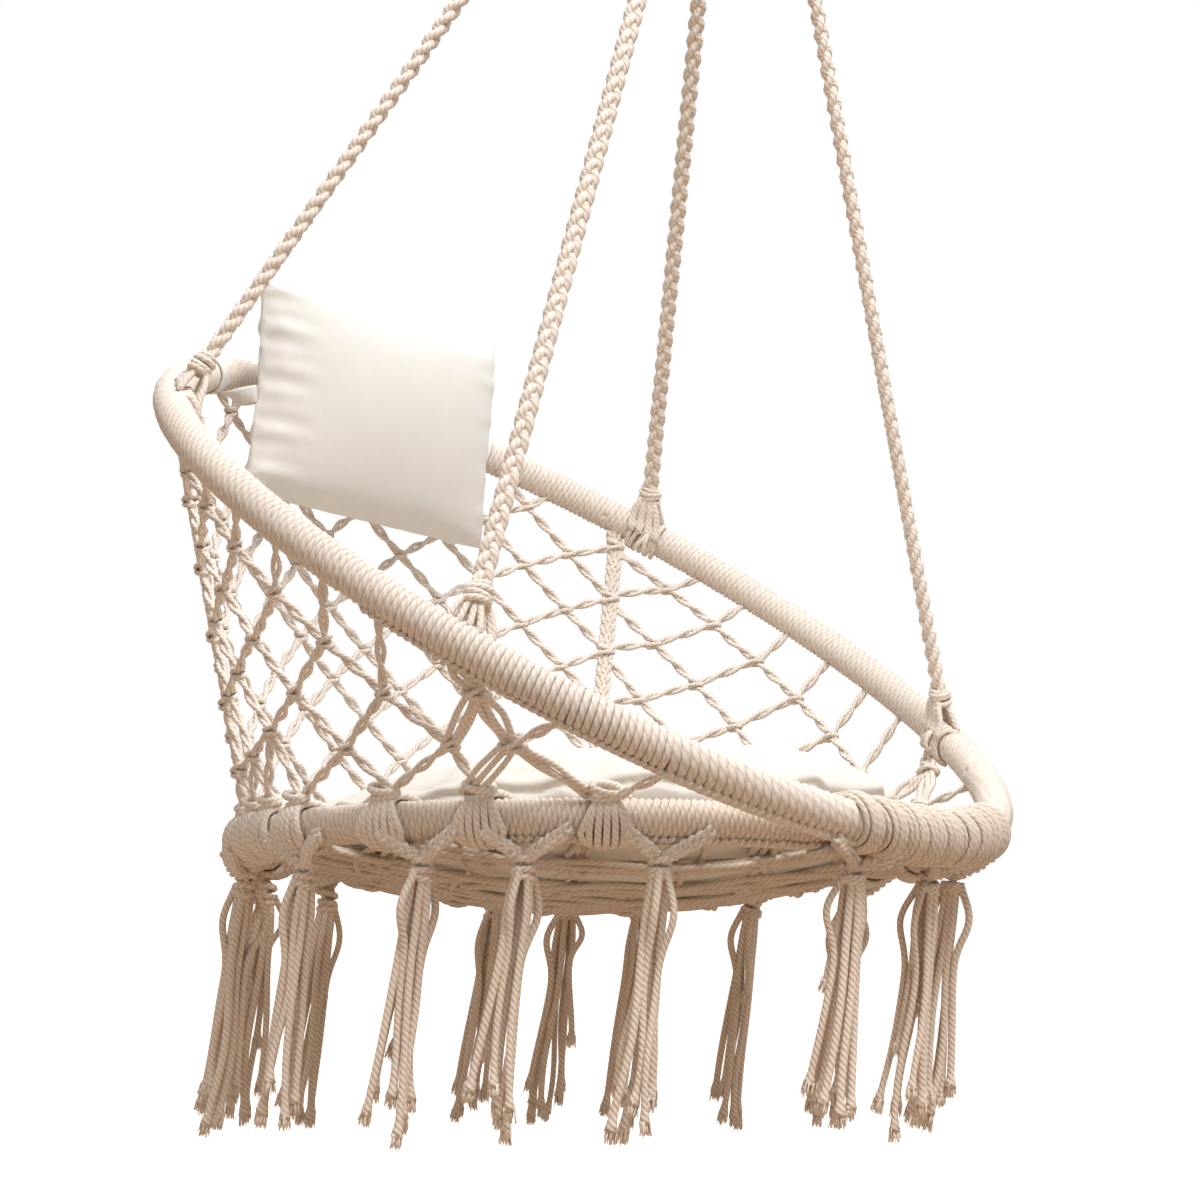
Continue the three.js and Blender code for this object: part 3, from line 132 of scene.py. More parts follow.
class Ring:
    """A ring of the chair: angles run from +X toward the back, the front is at -90 degrees"""

    def __init__(self, radius, centre, tilt_deg, facet_phase):
        self.radius, self.centre, self.phase = radius, np.array(centre), facet_phase
        self.cos, self.sin = math.cos(math.radians(tilt_deg)), math.sin(math.radians(tilt_deg))

    def turned(self, x, y, z):
        return np.stack([x, y * self.cos - z * self.sin, y * self.sin + z * self.cos], -1)

    def point(self, deg, reach=0.0, lift=0.0):
        angle = np.radians(deg)
        radius = self.radius + np.asarray(reach)
        x, y, z = np.broadcast_arrays(radius * np.cos(angle), radius * np.sin(angle), lift)
        return self.turned(x, y, z) + self.centre

    def tangent(self, deg):
        angle = np.radians(deg)
        return self.turned(-np.sin(angle), np.cos(angle), 0 * angle)

    def degrees(self, length):
        return math.degrees(length / self.radius)

    def band_deg(self, deg, width):
        """The angle of a band of this width, moved so that it stays on one facet of the CAD ring"""
        middle = (math.floor((deg - self.phase) / FACET_DEG) + 0.5) * FACET_DEG + self.phase
        slack = FACET_DEG / 2 - self.degrees(width / 2)
        return middle + clamp(deg - middle, -slack, slack)

    def beside(self, deg, facing, reach):
        """The point at this reach from the ring's line, on the side of another point"""
        axis = self.point(deg)
        return axis + square(facing - axis, self.tangent(deg)) * reach


seat = Ring(0.300, SEAT_CENTRE, -8.1, 0)
upper = Ring(0.409, (0.0, 0.0351, -1.0424), 26.6, 4.5)


class Skein:
    """Collects lengths of cord that become one piece. U runs round a cord, V along it in metres"""

    def __init__(self):
        self.coords, self.quads, self.uvs, self.total = [], [], [], 0

    def lay(self, points, outward, radius=CORD, sides=6, closed=False, flat=1.0):
        points = np.asarray(points, float)
        count = len(points)
        if closed:
            tangent = unit(np.roll(points, -1, 0) - np.roll(points, 1, 0))
        else:
            tangent = unit(np.gradient(points, axis=0))
        outward = square(outward, tangent)
        sideways = np.cross(tangent, outward)
        angle = np.arange(sides) * TURN / sides
        radius = np.broadcast_to(radius, count)[:, None, None]
        cos, sin = np.cos(angle)[None, :, None], np.sin(angle)[None, :, None]
        ring = cos * outward[:, None] + flat * sin * sideways[:, None]
        self.coords.append((points[:, None] + ring * radius).reshape(-1, 3))
        spans = count if closed else count - 1
        i, j = np.meshgrid(np.arange(spans), np.arange(sides), indexing="ij")
        after, beside = (i + 1) % count, (j + 1) % sides
        corners = [i * sides + j, i * sides + beside, after * sides + beside, after * sides + j]
        quads = np.stack(corners, -1).reshape(-1, 4)
        along = arc_length(np.concatenate([points, points[:1]])) + chance.random()
        u0, u1 = j / sides, (j + 1) / sides
        v0, v1 = along[i], along[i + 1]
        uvs = np.stack([u0, v0, u1, v0, u1, v1, u0, v1], -1).reshape(-1, 8)
        if sides <= HAIR_SIDES:
            uvs = np.tile(PLY_CROWN_UV, (len(uvs), 4))
        if not closed:
            k = np.arange(sides // 2 - 1)
            cap = np.stack([k, k + 1, sides - 2 - k, sides - 1 - k], -1)
            quads = np.concatenate([quads, cap[:, ::-1], cap + (count - 1) * sides])
            uvs = np.concatenate([uvs, np.tile(uvs[:1], (2 * len(k), 1))])
        self.quads.append(quads + self.total)
        self.uvs.append(uvs)
        self.total += count * sides

    def piece(self, name, material, body, node, slot="cord"):
        coords, quads = np.concatenate(self.coords), np.concatenate(self.quads)
        mesh = bpy.data.meshes.new(name)
        mesh.vertices.add(len(coords))
        mesh.vertices.foreach_set("co", coords.ravel())
        mesh.loops.add(quads.size)
        mesh.loops.foreach_set("vertex_index", quads.ravel())
        mesh.polygons.add(len(quads))
        mesh.polygons.foreach_set("loop_start", np.arange(len(quads)) * 4)
        mesh.polygons.foreach_set("use_smooth", np.ones(len(quads), bool))
        layer = mesh.uv_layers.new(name="lay")
        layer.data.foreach_set("uv", np.concatenate(self.uvs).ravel())
        mesh.update(calc_edges=True)
        mesh.validate()
        dress(new_object(name, mesh), material, body, node)


def dress(piece, material, body, node):
    piece.data.materials.clear()
    piece.data.materials.append(material)
    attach(piece, body)
    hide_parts(node)


def smooth(stops, step=0.005):
    """A smooth route through the stops"""
    stops = np.asarray(stops, float)
    padded = np.concatenate([[2 * stops[0] - stops[1]], stops, [2 * stops[-1] - stops[-2]]])
    runs = []
    for a, b, c, d in zip(padded, padded[1:], padded[2:], padded[3:]):
        count = max(2, round(np.linalg.norm(c - b) / step))
        t = (np.arange(count) / count)[:, None]
        square, cube = (2 * a - 5 * b + 4 * c - d) * t**2, (3 * b - a - 3 * c + d) * t**3
        runs.append(0.5 * (2 * b + (c - a) * t + square + cube))
    return np.concatenate([*runs, stops[-1:]])


def arc_length(points):
    return np.concatenate([[0], np.cumsum(np.linalg.norm(np.diff(points, axis=0), axis=1))])


TURN_STEPS = 14


def wind(skein, ring, from_deg, to_deg, pitch, lean, over=1.07):
    """Turns of one cord wound tightly round a ring"""
    radius = pitch / 2 * over
    turns = max(1, round(math.radians(abs(to_deg - from_deg)) * ring.radius / pitch))
    k = np.arange(turns * TURN_STEPS + 1)
    deg = from_deg + (to_deg - from_deg) * k / k[-1]
    knots = chance.normal(0, 1, turns + 2)
    loose = np.interp(k / TURN_STEPS, np.arange(turns + 2), knots)
    angle = TURN * k / TURN_STEPS + math.pi
    deg = deg + ring.degrees(0.00025) * loose * np.sin(angle) + ring.degrees(lean) * np.sin(angle)
    out = WRAP_REACH - radius * 0.92 + 0.00015 * loose
    points = ring.point(deg, out * np.cos(angle), out * np.sin(angle))
    skein.lay(points, points - ring.point(deg), radius)


def hitch_row(skein, ring, from_deg, to_deg, pitch, section_deg, reach, radius, size=1.0):
    """A ridge of half hitches along a ring, at one place of its section"""
    count = max(1, round(math.radians(abs(to_deg - from_deg)) * ring.radius / pitch))
    for k in range(count):
        deg = from_deg + (to_deg - from_deg) * (k + 0.5) / count
        t = np.linspace(-1, 1, 6)
        section = np.radians(section_deg + 13 * size * t + chance.normal(0, 1.5))
        run = deg + ring.degrees(pitch) * (0.75 * t)
        out = reach + 0.0016 * (1 - t**2)
        points = ring.point(run, out * np.cos(section), out * np.sin(section))
        skein.lay(points, points - ring.point(run), radius)


def around(steps):
    """Cosines and sines of even steps round a closed loop"""
    angle = np.arange(steps)[:, None] * TURN / steps
    return np.cos(angle), np.sin(angle)


def bind(skein, centre, along, normal, half_width, half_depth, turns=2, pitch=0.0041, radius=CORD, tilt=0.3):
    """Turns that bind a bundle of cords which runs along a direction"""
    along = unit(along)
    normal = square(normal, along)
    across = np.cross(along, normal)
    cos, sin = around(12)
    for i in range(turns):
        middle = centre + along * (i - (turns - 1) / 2) * pitch
        lean = tilt * (-1) ** i + chance.normal(0, 0.05)
        points = middle + (across + along * lean) * half_width * cos + normal * half_depth * sin
        skein.lay(points, points - middle, radius, closed=True)


LINK_CORD = 0.0022


def link(skein, one, other):
    """Two cords twisted together from one knot to the next; a knot is its place and its normal"""
    (start, normal), end = one, other[0]
    length = np.linalg.norm(end - start)
    turns = max(0.5, length / 0.052)
    s = np.linspace(0, 1, max(5, math.ceil(length / 0.0055)))[:, None]
    along = unit(end - start)
    normal = square(normal, along)
    across = np.cross(along, normal)
    bow = chance.normal(0, 0.0006, 2)
    line = start + (end - start) * s + (across * bow[0] + normal * bow[1]) * np.sin(math.pi * s)
    phase = chance.random() * TURN
    pinch = 1 - 0.25 * np.cos(TURN * s)
    for k in (0, 1):
        angle = phase + TURN * (turns * s + k / 2)
        points = line + LINK_CORD * 0.96 * pinch * (across * np.cos(angle) + normal * np.sin(angle))
        skein.lay(points, normal, LINK_CORD)


def fasten(skein, knot, ring, deg, reach):
    """A link from a knot to the side of a ring that faces it"""
    link(skein, knot, (ring.beside(deg, knot[0], reach), None))


def strands(skein, start, end, normal, across, count, gap=0.0042, radius=CORD, wander=1.0):
    """Cords that lie side by side from one knot to the next"""
    s = np.linspace(0, 1, max(5, math.ceil(np.linalg.norm(end - start) / 0.006)))[:, None]
    for k in range(count):
        offset = (k - (count - 1) / 2) * gap
        belly = wander * np.sin(math.pi * s)
        wave = chance.normal(0, 0.0007) * belly + offset * (0.75 + 0.18 * belly)
        lift = 0.0007 * wander * np.sin(TURN * s * 1.5 + k * 2.1)
        skein.lay(start + (end - start) * s + across * wave + normal * lift, normal, radius)


def plait(skein, route, across, half_width, half_depth, wave, phase, radius=CORD, cords=2):
    """A flat three-strand plait, each strand of one or two cords"""
    tangent = unit(np.gradient(route, axis=0))
    across = square(across, tangent)
    deep = np.cross(tangent, across)
    theta = TURN * arc_length(route) / wave + phase
    for strand in range(3):
        angle = theta + strand * TURN / 3
        centre = route + across * (half_width * np.sin(angle))[:, None]
        centre = centre + deep * (half_depth * np.sin(2 * angle))[:, None]
        heading = unit(np.gradient(centre, axis=0))
        beside = unit(np.cross(deep, heading))
        for k in range(cords):
            offset = (k - (cords - 1) / 2) * 2 * radius * 0.95
            skein.lay(centre + beside * np.reshape(offset, (-1, 1)), deep, radius)


# Materials

# Places of the two colour inputs of a Mix node
MIX_FIRST, MIX_SECOND = 6, 7


class Tree:
    """The nodes of a material, a world or a group, each made and linked in one call"""

    def __init__(self, tree):
        self.nodes, self.links = tree.nodes, tree.links

    def feed(self, socket, value):
        if isinstance(value, bpy.types.NodeSocket):
            self.links.new(value, socket)
        else:
            socket.default_value = (*value, 1) if isinstance(value, tuple) else value

    def add(self, kind, **inputs):
        node = self.nodes.new(f"ShaderNode{kind}")
        for label, value in inputs.items():
            self.feed(node.inputs[label], value)
        return node

    def maths(self, operation, *values, clamped=False):
        node = self.add("Math")
        node.operation, node.use_clamp = operation, clamped
        for socket, value in zip(node.inputs, values):
            self.feed(socket, value)
        return node.outputs[0]

    def noise(self, vector, scale, detail):
        return self.add("TexNoise", Vector=vector, Scale=scale, Detail=detail, Roughness=0.55).outputs["Fac"]

    def mix(self, factor, first, second, blend="MIX"):
        node = self.add("Mix")
        node.data_type, node.blend_type = "RGBA", blend
        for place, value in (("Factor", factor), (MIX_FIRST, first), (MIX_SECOND, second)):
            self.feed(node.inputs[place], value)
        return node.outputs[2]

    def rays(self, *kinds):
        """1 for rays of these kinds"""
        path = self.add("LightPath").outputs
        seen = path[f"Is {kinds[0]} Ray"]
        for kind in kinds[1:]:
            seen = self.maths("MAXIMUM", seen, path[f"Is {kind} Ray"])
        return seen


class Finish(Tree):
    """A material with its Principled shader"""

    def __init__(self, name):
        self.material = bpy.data.materials.new(name)
        self.material.use_nodes = True
        super().__init__(self.material.node_tree)
        self.shader = self.nodes["Principled BSDF"]
        self.places = self.add("TexCoord").outputs

    def bump(self, height, strength, distance):
        node = self.add("Bump", Height=height, Strength=strength, Distance=distance)
        self.feed(self.shader.inputs["Normal"], node.outputs["Normal"])

    def surface(self, colour, roughness, **inputs):
        self.feed(self.shader.inputs["Base Color"], colour)
        self.feed(self.shader.inputs["Roughness"], roughness)
        for label, value in inputs.items():
            self.feed(self.shader.inputs[label.replace("_", " ")], value)
        return self.material


PLIES = 3


def make_cord_lay():
    """Three plies that run round a cord, from its UV map: crown is 1 on a ply and 0 in the groove"""
    group = bpy.data.node_groups.new("cord_lay", "ShaderNodeTree")
    for label, kind in (("UV", "Vector"), ("Object", "Vector"), ("Lay", "Float")):
        group.interface.new_socket(label, in_out="INPUT", socket_type=f"NodeSocket{kind}")
    for label in ("Crown", "Fibre", "Tone"):
        group.interface.new_socket(label, in_out="OUTPUT", socket_type="NodeSocketFloat")
    tree = Tree(group)
    given, result = group.nodes.new("NodeGroupInput").outputs, group.nodes.new("NodeGroupOutput").inputs
    u, v, _ = tree.add("SeparateXYZ", Vector=given["UV"]).outputs
    around = tree.maths("MULTIPLY", u, PLIES)
    along = tree.maths("MULTIPLY", tree.maths("DIVIDE", v, given["Lay"]), PLIES)
    place = tree.maths("ADD", around, along)
    wave = tree.maths("PINGPONG", place, 0.5)
    crown = tree.maths("POWER", tree.maths("MULTIPLY", wave, 2, clamped=True), 0.55)
    cross = tree.add("CombineXYZ", X=tree.maths("MULTIPLY", place, 5), Y=tree.maths("MULTIPLY", v, 160))
    tree.feed(result["Crown"], crown)
    tree.feed(result["Fibre"], tree.noise(cross.outputs[0], 1.0, 2.0))
    tree.feed(result["Tone"], tree.noise(given["Object"], 9.0, 2.0))
    return group


cord_lay = make_cord_lay()


def make_cord_material(name, crown_colour, painted_groove_shade, lay, height):
    finish = Finish(name)
    group = finish.nodes.new("ShaderNodeGroup")
    group.node_tree = cord_lay
    for label, value in (("UV", finish.places["UV"]), ("Object", finish.places["Object"]), ("Lay", lay)):
        finish.feed(group.inputs[label], value)
    crown, fibre, tone = group.outputs
    # Painted shade: the grooves between the plies, where the crown mask is 0, take the darker groove colour
    base = finish.mix(crown, painted_groove_shade, crown_colour)
    fibre_shade = finish.maths("MULTIPLY_ADD", fibre, 0.12, 0.94)
    tone_shade = finish.maths("MULTIPLY_ADD", tone, 0.16, 0.92)
    shade = finish.maths("MULTIPLY", fibre_shade, tone_shade)
    colour = finish.mix(1.0, base, shade, "MULTIPLY")
    finish.bump(finish.maths("MULTIPLY_ADD", fibre, 0.18, crown), 0.75, height)
    return finish.surface(colour, 0.92, Specular_IOR_Level=0.2, Sheen_Weight=0.15)


# Each cord finish: crown colour, a darker groove colour that is painted shade in the grooves between plies,
# lay length and bump height
cotton = make_cord_material("cotton_cord", (0.91, 0.84, 0.765), (0.71, 0.59, 0.485), 0.0150, 0.0007)
wound_cotton = make_cord_material("wound_cord", (0.845, 0.78, 0.715), (0.68, 0.57, 0.475), 0.0230, 0.0006)
# A darker copy of the cotton cord with painted shade, for the seat windings, front lashing and seat net,
# which hang in shade
shaded_cotton = make_cord_material("shaded_seat_cord", (0.82, 0.735, 0.65), (0.62, 0.50, 0.40), 0.0190, 0.0006)
tassel_cotton = make_cord_material("tassel_cord", (0.93, 0.83, 0.725), (0.63, 0.49, 0.375), 0.0150, 0.0009)


def make_cloth_material(name, low, high):
    finish = Finish(name)
    weave = finish.noise(finish.places["Object"], 1400, 1.0)
    crease_bump_and_shade = finish.noise(finish.places["Object"], 22, 3.0)
    # Painted shade: the colour is darker where the crease noise is low, in the hollows of the crease bump,
    # and lighter on its ridges
    tone = finish.maths("MULTIPLY_ADD", crease_bump_and_shade, 0.06, 0.97)
    colour = finish.mix(1.0, finish.mix(weave, low, high), tone, "MULTIPLY")
    finish.bump(finish.maths("MULTIPLY_ADD", crease_bump_and_shade, 4.0, weave), 0.5, 0.0004)
    return finish.surface(colour, 0.95, Specular_IOR_Level=0.15, Sheen_Weight=0.2)


def make_steel_material(name, colour, roughness, metallic):
    finish = Finish(name)
    smear = finish.noise(finish.places["Object"], 160, 4.0)
    dull = finish.maths("MULTIPLY_ADD", smear, 0.25, roughness - 0.1)
    darker = tuple(0.82 * part for part in colour)
    finish.bump(smear, 0.15, 0.0002)
    return finish.surface(finish.mix(smear, darker, colour), dull, Metallic=metallic)


canvas = make_cloth_material("cotton_canvas", (0.79, 0.775, 0.74), (0.85, 0.837, 0.81))
cushion_canvas = make_cloth_material("cushion_canvas", (0.74, 0.70, 0.635), (0.80, 0.765, 0.705))
ring_steel = make_steel_material("bright_steel", (0.52, 0.53, 0.55), 0.3, 1.0)
tube_steel = make_steel_material("coated_tube", (0.56, 0.57, 0.59), 0.5, 0.6)
for tube in ("upper_ring_tube", "seat_ring_tube"):
    frame["nodes"][tube].data.materials.clear()
    frame["nodes"][tube].data.materials.append(tube_steel)

# Wraps of the two rings
UPPER_ENDS = {"right": (-40.5, 40.5), "back": (40.5, 139.5), "left": (139.5, 220.5), "front": (220.5, 319.5)}
SEAT_ENDS = {"right": (-45, 45), "back": (45, 135), "left": (135, 225), "front": (225, 315)}
COARSE_FROM, COARSE_TO = 232.0, 262.0
for side, (low, high) in UPPER_ENDS.items():
    wrap = Skein()
    if side == "front":
        wind(wrap, upper, low, COARSE_FROM, 0.0062, lean=-0.003)
        wind(wrap, upper, COARSE_FROM, COARSE_TO, 0.0080, lean=-0.005, over=1.03)
        wind(wrap, upper, COARSE_TO, high, 0.0056, lean=-0.003)
        hitch_row(wrap, upper, COARSE_FROM, COARSE_TO, 0.0080, -68, WRAP_REACH - 0.0006, 0.0036, size=1.4)
        hitch_row(wrap, upper, low, COARSE_FROM, 0.0066, -72, WRAP_REACH - 0.0004, radius=0.0026)
    else:
        near = side == "left"
        wind(wrap, upper, low, high, 0.0060 if near else 0.0052, lean=-0.002, over=1.10 if near else 1.25)
    if side == "left":
        hitch_row(wrap, upper, 196, high, 0.0066, -74, WRAP_REACH - 0.0008, radius=0.0024)
    wrap.piece(f"upper_winding_{side}", wound_cotton, "chair", f"upper_wrap_{side}")
for side, (low, high) in SEAT_ENDS.items():
    wrap = Skein()
    wind(wrap, seat, low, high, 0.0058, lean=0.005, over=1.09)
    if side in ("front", "left"):
        hitch_row(wrap, seat, max(low, 198), min(high, 262), 0.0068, -80, WRAP_REACH, radius=0.0026, size=1.2)
    wrap.piece(f"seat_winding_{side}", shaded_cotton, "chair", f"seat_wrap_{side}")

# Hanging gear
RING_CENTRE_Z = -0.025
HANG_RADIUS = 0.029
WIRE_RADIUS = 0.004
BAR_Z = -0.054
NECK_Z = -0.142
WHIPPING_TOP = -0.080
WHIPPING_TURNS, WHIPPING_STEPS = 12, 20
ROPE_OFFSET = 0.0069
LOOP_RADIUS = 0.012
FAN_HEIGHT = 0.027
HANGER_DEG = {"front": -27.8, "back": 33.8}
HANGER_BAND = 0.032
COLLAR_HEIGHT = 0.0425
FAN_ARCS, FAN_STRANDS, FAN_WIDTH = 6, 12, 0.034
# Height on the leg, share of the width and depth at each stop of a strand
FAN_STOPS = [
    (0.049, 0.22, 0.0034), (COLLAR_HEIGHT, 0.30, 0.0044), (0.031, 0.72, 0.0090), (0.0175, 0.98, 0.0125),
]


def select_only(piece):
    for other in bpy.context.view_layer.objects:
        other.select_set(other == piece)
    bpy.context.view_layer.objects.active = piece


def apply_place(piece):
    select_only(piece)
    bpy.ops.object.transform_apply(location=True, rotation=True, scale=True)


bpy.ops.mesh.primitive_torus_add(
    major_radius=HANG_RADIUS, minor_radius=WIRE_RADIUS, major_segments=96, minor_segments=24,
    location=(0, 0, RING_CENTRE_Z), rotation=(math.pi / 2, 0, 0),
)
steel_ring = bpy.context.object
steel_ring.name = "steel_hanging_ring"
apply_place(steel_ring)
bpy.ops.object.shade_smooth()
dress(steel_ring, ring_steel, "hanger", "hanging_ring")


def hanger_line(side, which):
    deg = upper.band_deg(mirrored(HANGER_DEG[which], side), HANGER_BAND)
    foot = upper.point(deg)
    depth = -ROPE_OFFSET if which == "front" else ROPE_OFFSET
    neck = np.array([side * ROPE_OFFSET, depth, NECK_Z])
    return deg, foot, neck, unit(neck - foot)


def leg_route(side, which):
    deg, foot, neck, rise = hanger_line(side, which)
    start = foot + rise * (FAN_HEIGHT + 0.010)
    stops = [*np.linspace(start, neck, 9)]
    stops += [np.array([*neck[:2], z]) for z in (-0.120, -0.100, WHIPPING_TOP)]
    return np.array(stops)


def rope_piece(side):
    front, back = leg_route(side, "front"), leg_route(side, "back")
    sweep = np.linspace(0, math.pi, 9)
    loop = np.stack([
        np.full(9, side * ROPE_OFFSET), -LOOP_RADIUS * np.cos(sweep), BAR_Z + LOOP_RADIUS * np.sin(sweep),
    ], 1)
    route = smooth(np.concatenate([front, loop, back[::-1]]), 0.0045)
    place = arc_length(route)
    share = place / place[-1]
    middle = np.array([1.0, 0, 0])
    first, last = (upper.tangent(hanger_line(side, which)[0]) for which in HANGER_DEG)
    first, last = (v if v @ middle > 0 else -v for v in (first, last))
    blend = (np.abs(share - 0.5) * 2)[:, None] ** 2
    ends = np.where((share < 0.5)[:, None], first, last)
    across = unit(middle * (1 - blend) + ends * blend)
    to_top = np.minimum(place, place[-1] - place) / (place[-1] / 2)
    slim = np.clip((to_top - 0.80) / 0.10, 0, 1)
    foot_swell = 1 + 0.14 * np.clip(1 - to_top * 6, 0, 1)
    skein = Skein()
    half_width = (0.0044 - 0.0022 * slim) * foot_swell
    half_depth, radius = 0.0029 - 0.0012 * slim, 0.0040 - 0.0008 * slim
    plait(skein, route, across, half_width, half_depth, 0.050, side, radius, cords=1)
    skein.piece(f"plaited_rope_{SIDES[side]}", cotton, "chair", f"rope_{SIDES[side]}")


rope_piece(-1)
rope_piece(1)

whipping = Skein()
k = np.arange(WHIPPING_TURNS * WHIPPING_STEPS + 1)
swell = 0.0195 + 0.0012 * np.sin(math.pi * k / k[-1])
height = NECK_Z + 0.003 + (WHIPPING_TOP - NECK_Z - 0.006) * k / k[-1]
angle = TURN * k / WHIPPING_STEPS
points = np.stack([swell * np.cos(angle), swell * np.sin(angle), height], 1)
whipping.lay(points, points * [1, 1, 0], 0.0026)
whipping.piece("neck_whipping", cotton, "chair", "top_whipping")


def corner_pieces(side, which):
    """The collar of whipping at the foot of a rope leg, and the fan of strands below it"""
    label = f"{which}_{SIDES[side]}"
    deg, foot, _, rise = hanger_line(side, which)
    along = upper.tangent(deg)
    across = unit(np.cross(along, rise))
    collar = Skein()
    middle = foot + rise * COLLAR_HEIGHT
    bind(collar, middle, rise, across, 0.0098, 0.0082, turns=3, pitch=0.0046, radius=0.0027, tilt=0.10)
    bind(collar, middle + rise * 0.0085, rise, across, 0.0076, 0.0068, turns=1, radius=0.0024, tilt=0.25)
    collar.piece(f"collar_whipping_{label}", cotton, "chair", f"rope_collar_{label}")
    fan = Skein()
    inward = unit(upper.centre - foot)
    crest = square(rise, along)
    level = square(inward, crest)
    for i in range(FAN_ARCS):
        offset = (i / (FAN_ARCS - 1) - 0.5) * (HANGER_BAND - 2 * CORD)
        place = upper.point(deg + upper.degrees(offset))
        t = np.linspace(-0.35, 2.6, 12)[:, None]
        reach = TIE_REACH + 0.0012 * np.sin(t) + 0.0003 * math.sin(2.3 * i) - 0.0035 * (t < 0)
        arc = crest * np.cos(t) + level * np.sin(t)
        fan.lay(place + arc * reach + along * 0.002 * np.sin(2 * t + i), arc, 0.0027)
    for i in range(FAN_STRANDS):
        sway = 1 if i % 3 else -0.55
        offset = along * (i / (FAN_STRANDS - 1) - 0.5) * FAN_WIDTH
        out = inward * sway
        stops = [foot + rise * up + offset * spread + out * depth for up, spread, depth in FAN_STOPS]
        stops[2] = stops[2] + out * 0.001 * chance.random()
        if sway > 0:
            stops.append(foot + rise * 0.001 + offset + inward * 0.0208)
        fan.lay(smooth(stops), out, 0.0028)
    knot = foot + inward * 0.0215 + DOWN * 0.006
    bind(fan, knot, along, inward, 0.0085, 0.0050, pitch=0.0052)
    fan.piece(f"fan_strands_{label}", cotton, "chair", f"rope_fan_{label}")


for side in SIDES:
    for which in HANGER_DEG:
        corner_pieces(side, which)

# Nets
def net_point(deg, share):
    return upper.point(deg) * (1 - share) + seat.point(deg) * share


def net_normal(deg, share):
    around = net_point(deg + 1, share) - net_point(deg - 1, share)
    return unit(np.cross(seat.point(deg) - upper.point(deg), around))


TIE_BAND = 0.034
TIE_SLACK_DEG, TIE_SLOT_DEG = 1.05, 1.25
# How far from a ring's axis the links of a net end: in a tie below, on the wrap above
NET_END_REACH = 0.0215
NET_TOP_REACH = WRAP_REACH - 0.001


def tie_slot(deg, slot):
    """The angle at which a cord ends in a tie: slots are counted from the middle of its band"""
    band = seat.band_deg(deg, TIE_BAND)
    return clamp(deg, band - TIE_SLACK_DEG, band + TIE_SLACK_DEG) + slot * TIE_SLOT_DEG


def tie(skein, deg, facing):
    """Turns round the seat ring under a knot of the net, between two loops that bow outward"""
    centre_deg = seat.band_deg(deg, TIE_BAND)
    axis, along = seat.point(centre_deg), seat.tangent(centre_deg)
    toward = square(facing - axis, along)
    sideways = np.cross(along, toward)
    cos, sin = around(20)
    round_out = toward * cos + sideways * sin
    for i, place in enumerate((-1.0, -0.5, 0.0, 0.5, 1.0)):
        gather = 1.0 - 0.42 * np.maximum(cos, 0) ** 3 - 0.15 * np.maximum(-cos, 0) ** 2
        reach = TIE_REACH + 0.0032 - 0.0016 * place**2 + 0.0003 * math.sin(3.1 * i)
        loop = axis + along * place * 0.0134 * gather + reach * round_out
        skein.lay(loop, round_out, 0.0031, closed=True)
    for edge in (-1, 1):
        bow = 0.0172 * (1 - np.abs(cos)) ** 0.4 + 0.003
        loop = axis + along * edge * bow + (TIE_REACH + 0.0016) * round_out
        skein.lay(loop, round_out, 0.0030, closed=True)
    top = axis + toward * 0.0255
    bind(skein, top, toward, sideways, 0.0118, 0.0068, pitch=0.0056, radius=0.0030, tilt=0.18)


def knot_down(deg):
    return unit(seat.point(deg) - upper.point(deg))


def net_knot(skein, knot, deg, size=1.0):
    width, depth = 0.0060 * size, 0.0044 * size
    bind(skein, knot[0], knot_down(deg), knot[1], width, depth, pitch=0.0040, radius=0.0021)


YOKE_DROP = 0.031
YOKE_STUB = 0.0055
YOKE_FOOT_REACH = 0.0205
YOKE_SPREAD_DEG = (-5.8, 6.2)
FRONT_SPREAD_DEG = (-8.5, 5)


def yoke(skein, apex, feet, normal):
    """Two knotted chains from the ring to the knot above a tassel"""
    for k, foot in enumerate(feet):
        down = unit(apex - foot)
        beside = unit(np.cross(down, normal))
        knee = foot * 0.45 + apex * 0.55 + normal * 0.004
        route = smooth([foot - down * 0.004, foot, knee, apex], 0.003)
        plait(skein, route, beside, 0.0036, 0.0026, 0.022, phase=k, radius=0.0031, cords=1)
    bind(skein, apex, DOWN, normal, 0.0074, 0.0066, turns=1, radius=0.0030, tilt=0.25)
    level = np.cross(normal, DOWN)
    strands(skein, apex + [0, 0, 0.003], apex + [0, 0, -YOKE_STUB - 0.004], normal, level, 4)


def seat_yoke(skein, apex_deg):
    apex = seat.point(apex_deg) + DOWN * YOKE_DROP
    normal = unit(apex * [1, 1, 0])
    outside = unit(normal + DOWN * 0.62) * YOKE_FOOT_REACH
    feet = [seat.point(apex_deg + spread) + outside for spread in YOKE_SPREAD_DEG]
    yoke(skein, apex, feet, normal)


BACK_EDGE = 38.5
COLUMNS, ROWS = 14, 6
FIRST_ROW_SHARE, ROW_PITCH_SHARE = 0.082, 0.153
BACK_YOKES = [41, 55, 92, 113, 127, 140]
LEFT_YOKES = [168, 192, 208, 228]
RIGHT_YOKES = [-19, 5, 27]
column_pitch = (180 - 2 * BACK_EDGE) / COLUMNS


def column_deg(column):
    return BACK_EDGE + column * column_pitch


def back_share(column, row):
    """How far down the net a knot lies: odd columns are half a row lower"""
    return FIRST_ROW_SHARE + ROW_PITCH_SHARE * (row + (column % 2) / 2)


back = Skein()
knots = {}
for column in range(COLUMNS + 1):
    for row in range(ROWS):
        deg, share = column_deg(column), back_share(column, row)
        knots[column, row] = (net_point(deg, share), net_normal(deg, share))
        if 0 < column < COLUMNS:
            net_knot(back, knots[column, row], deg)

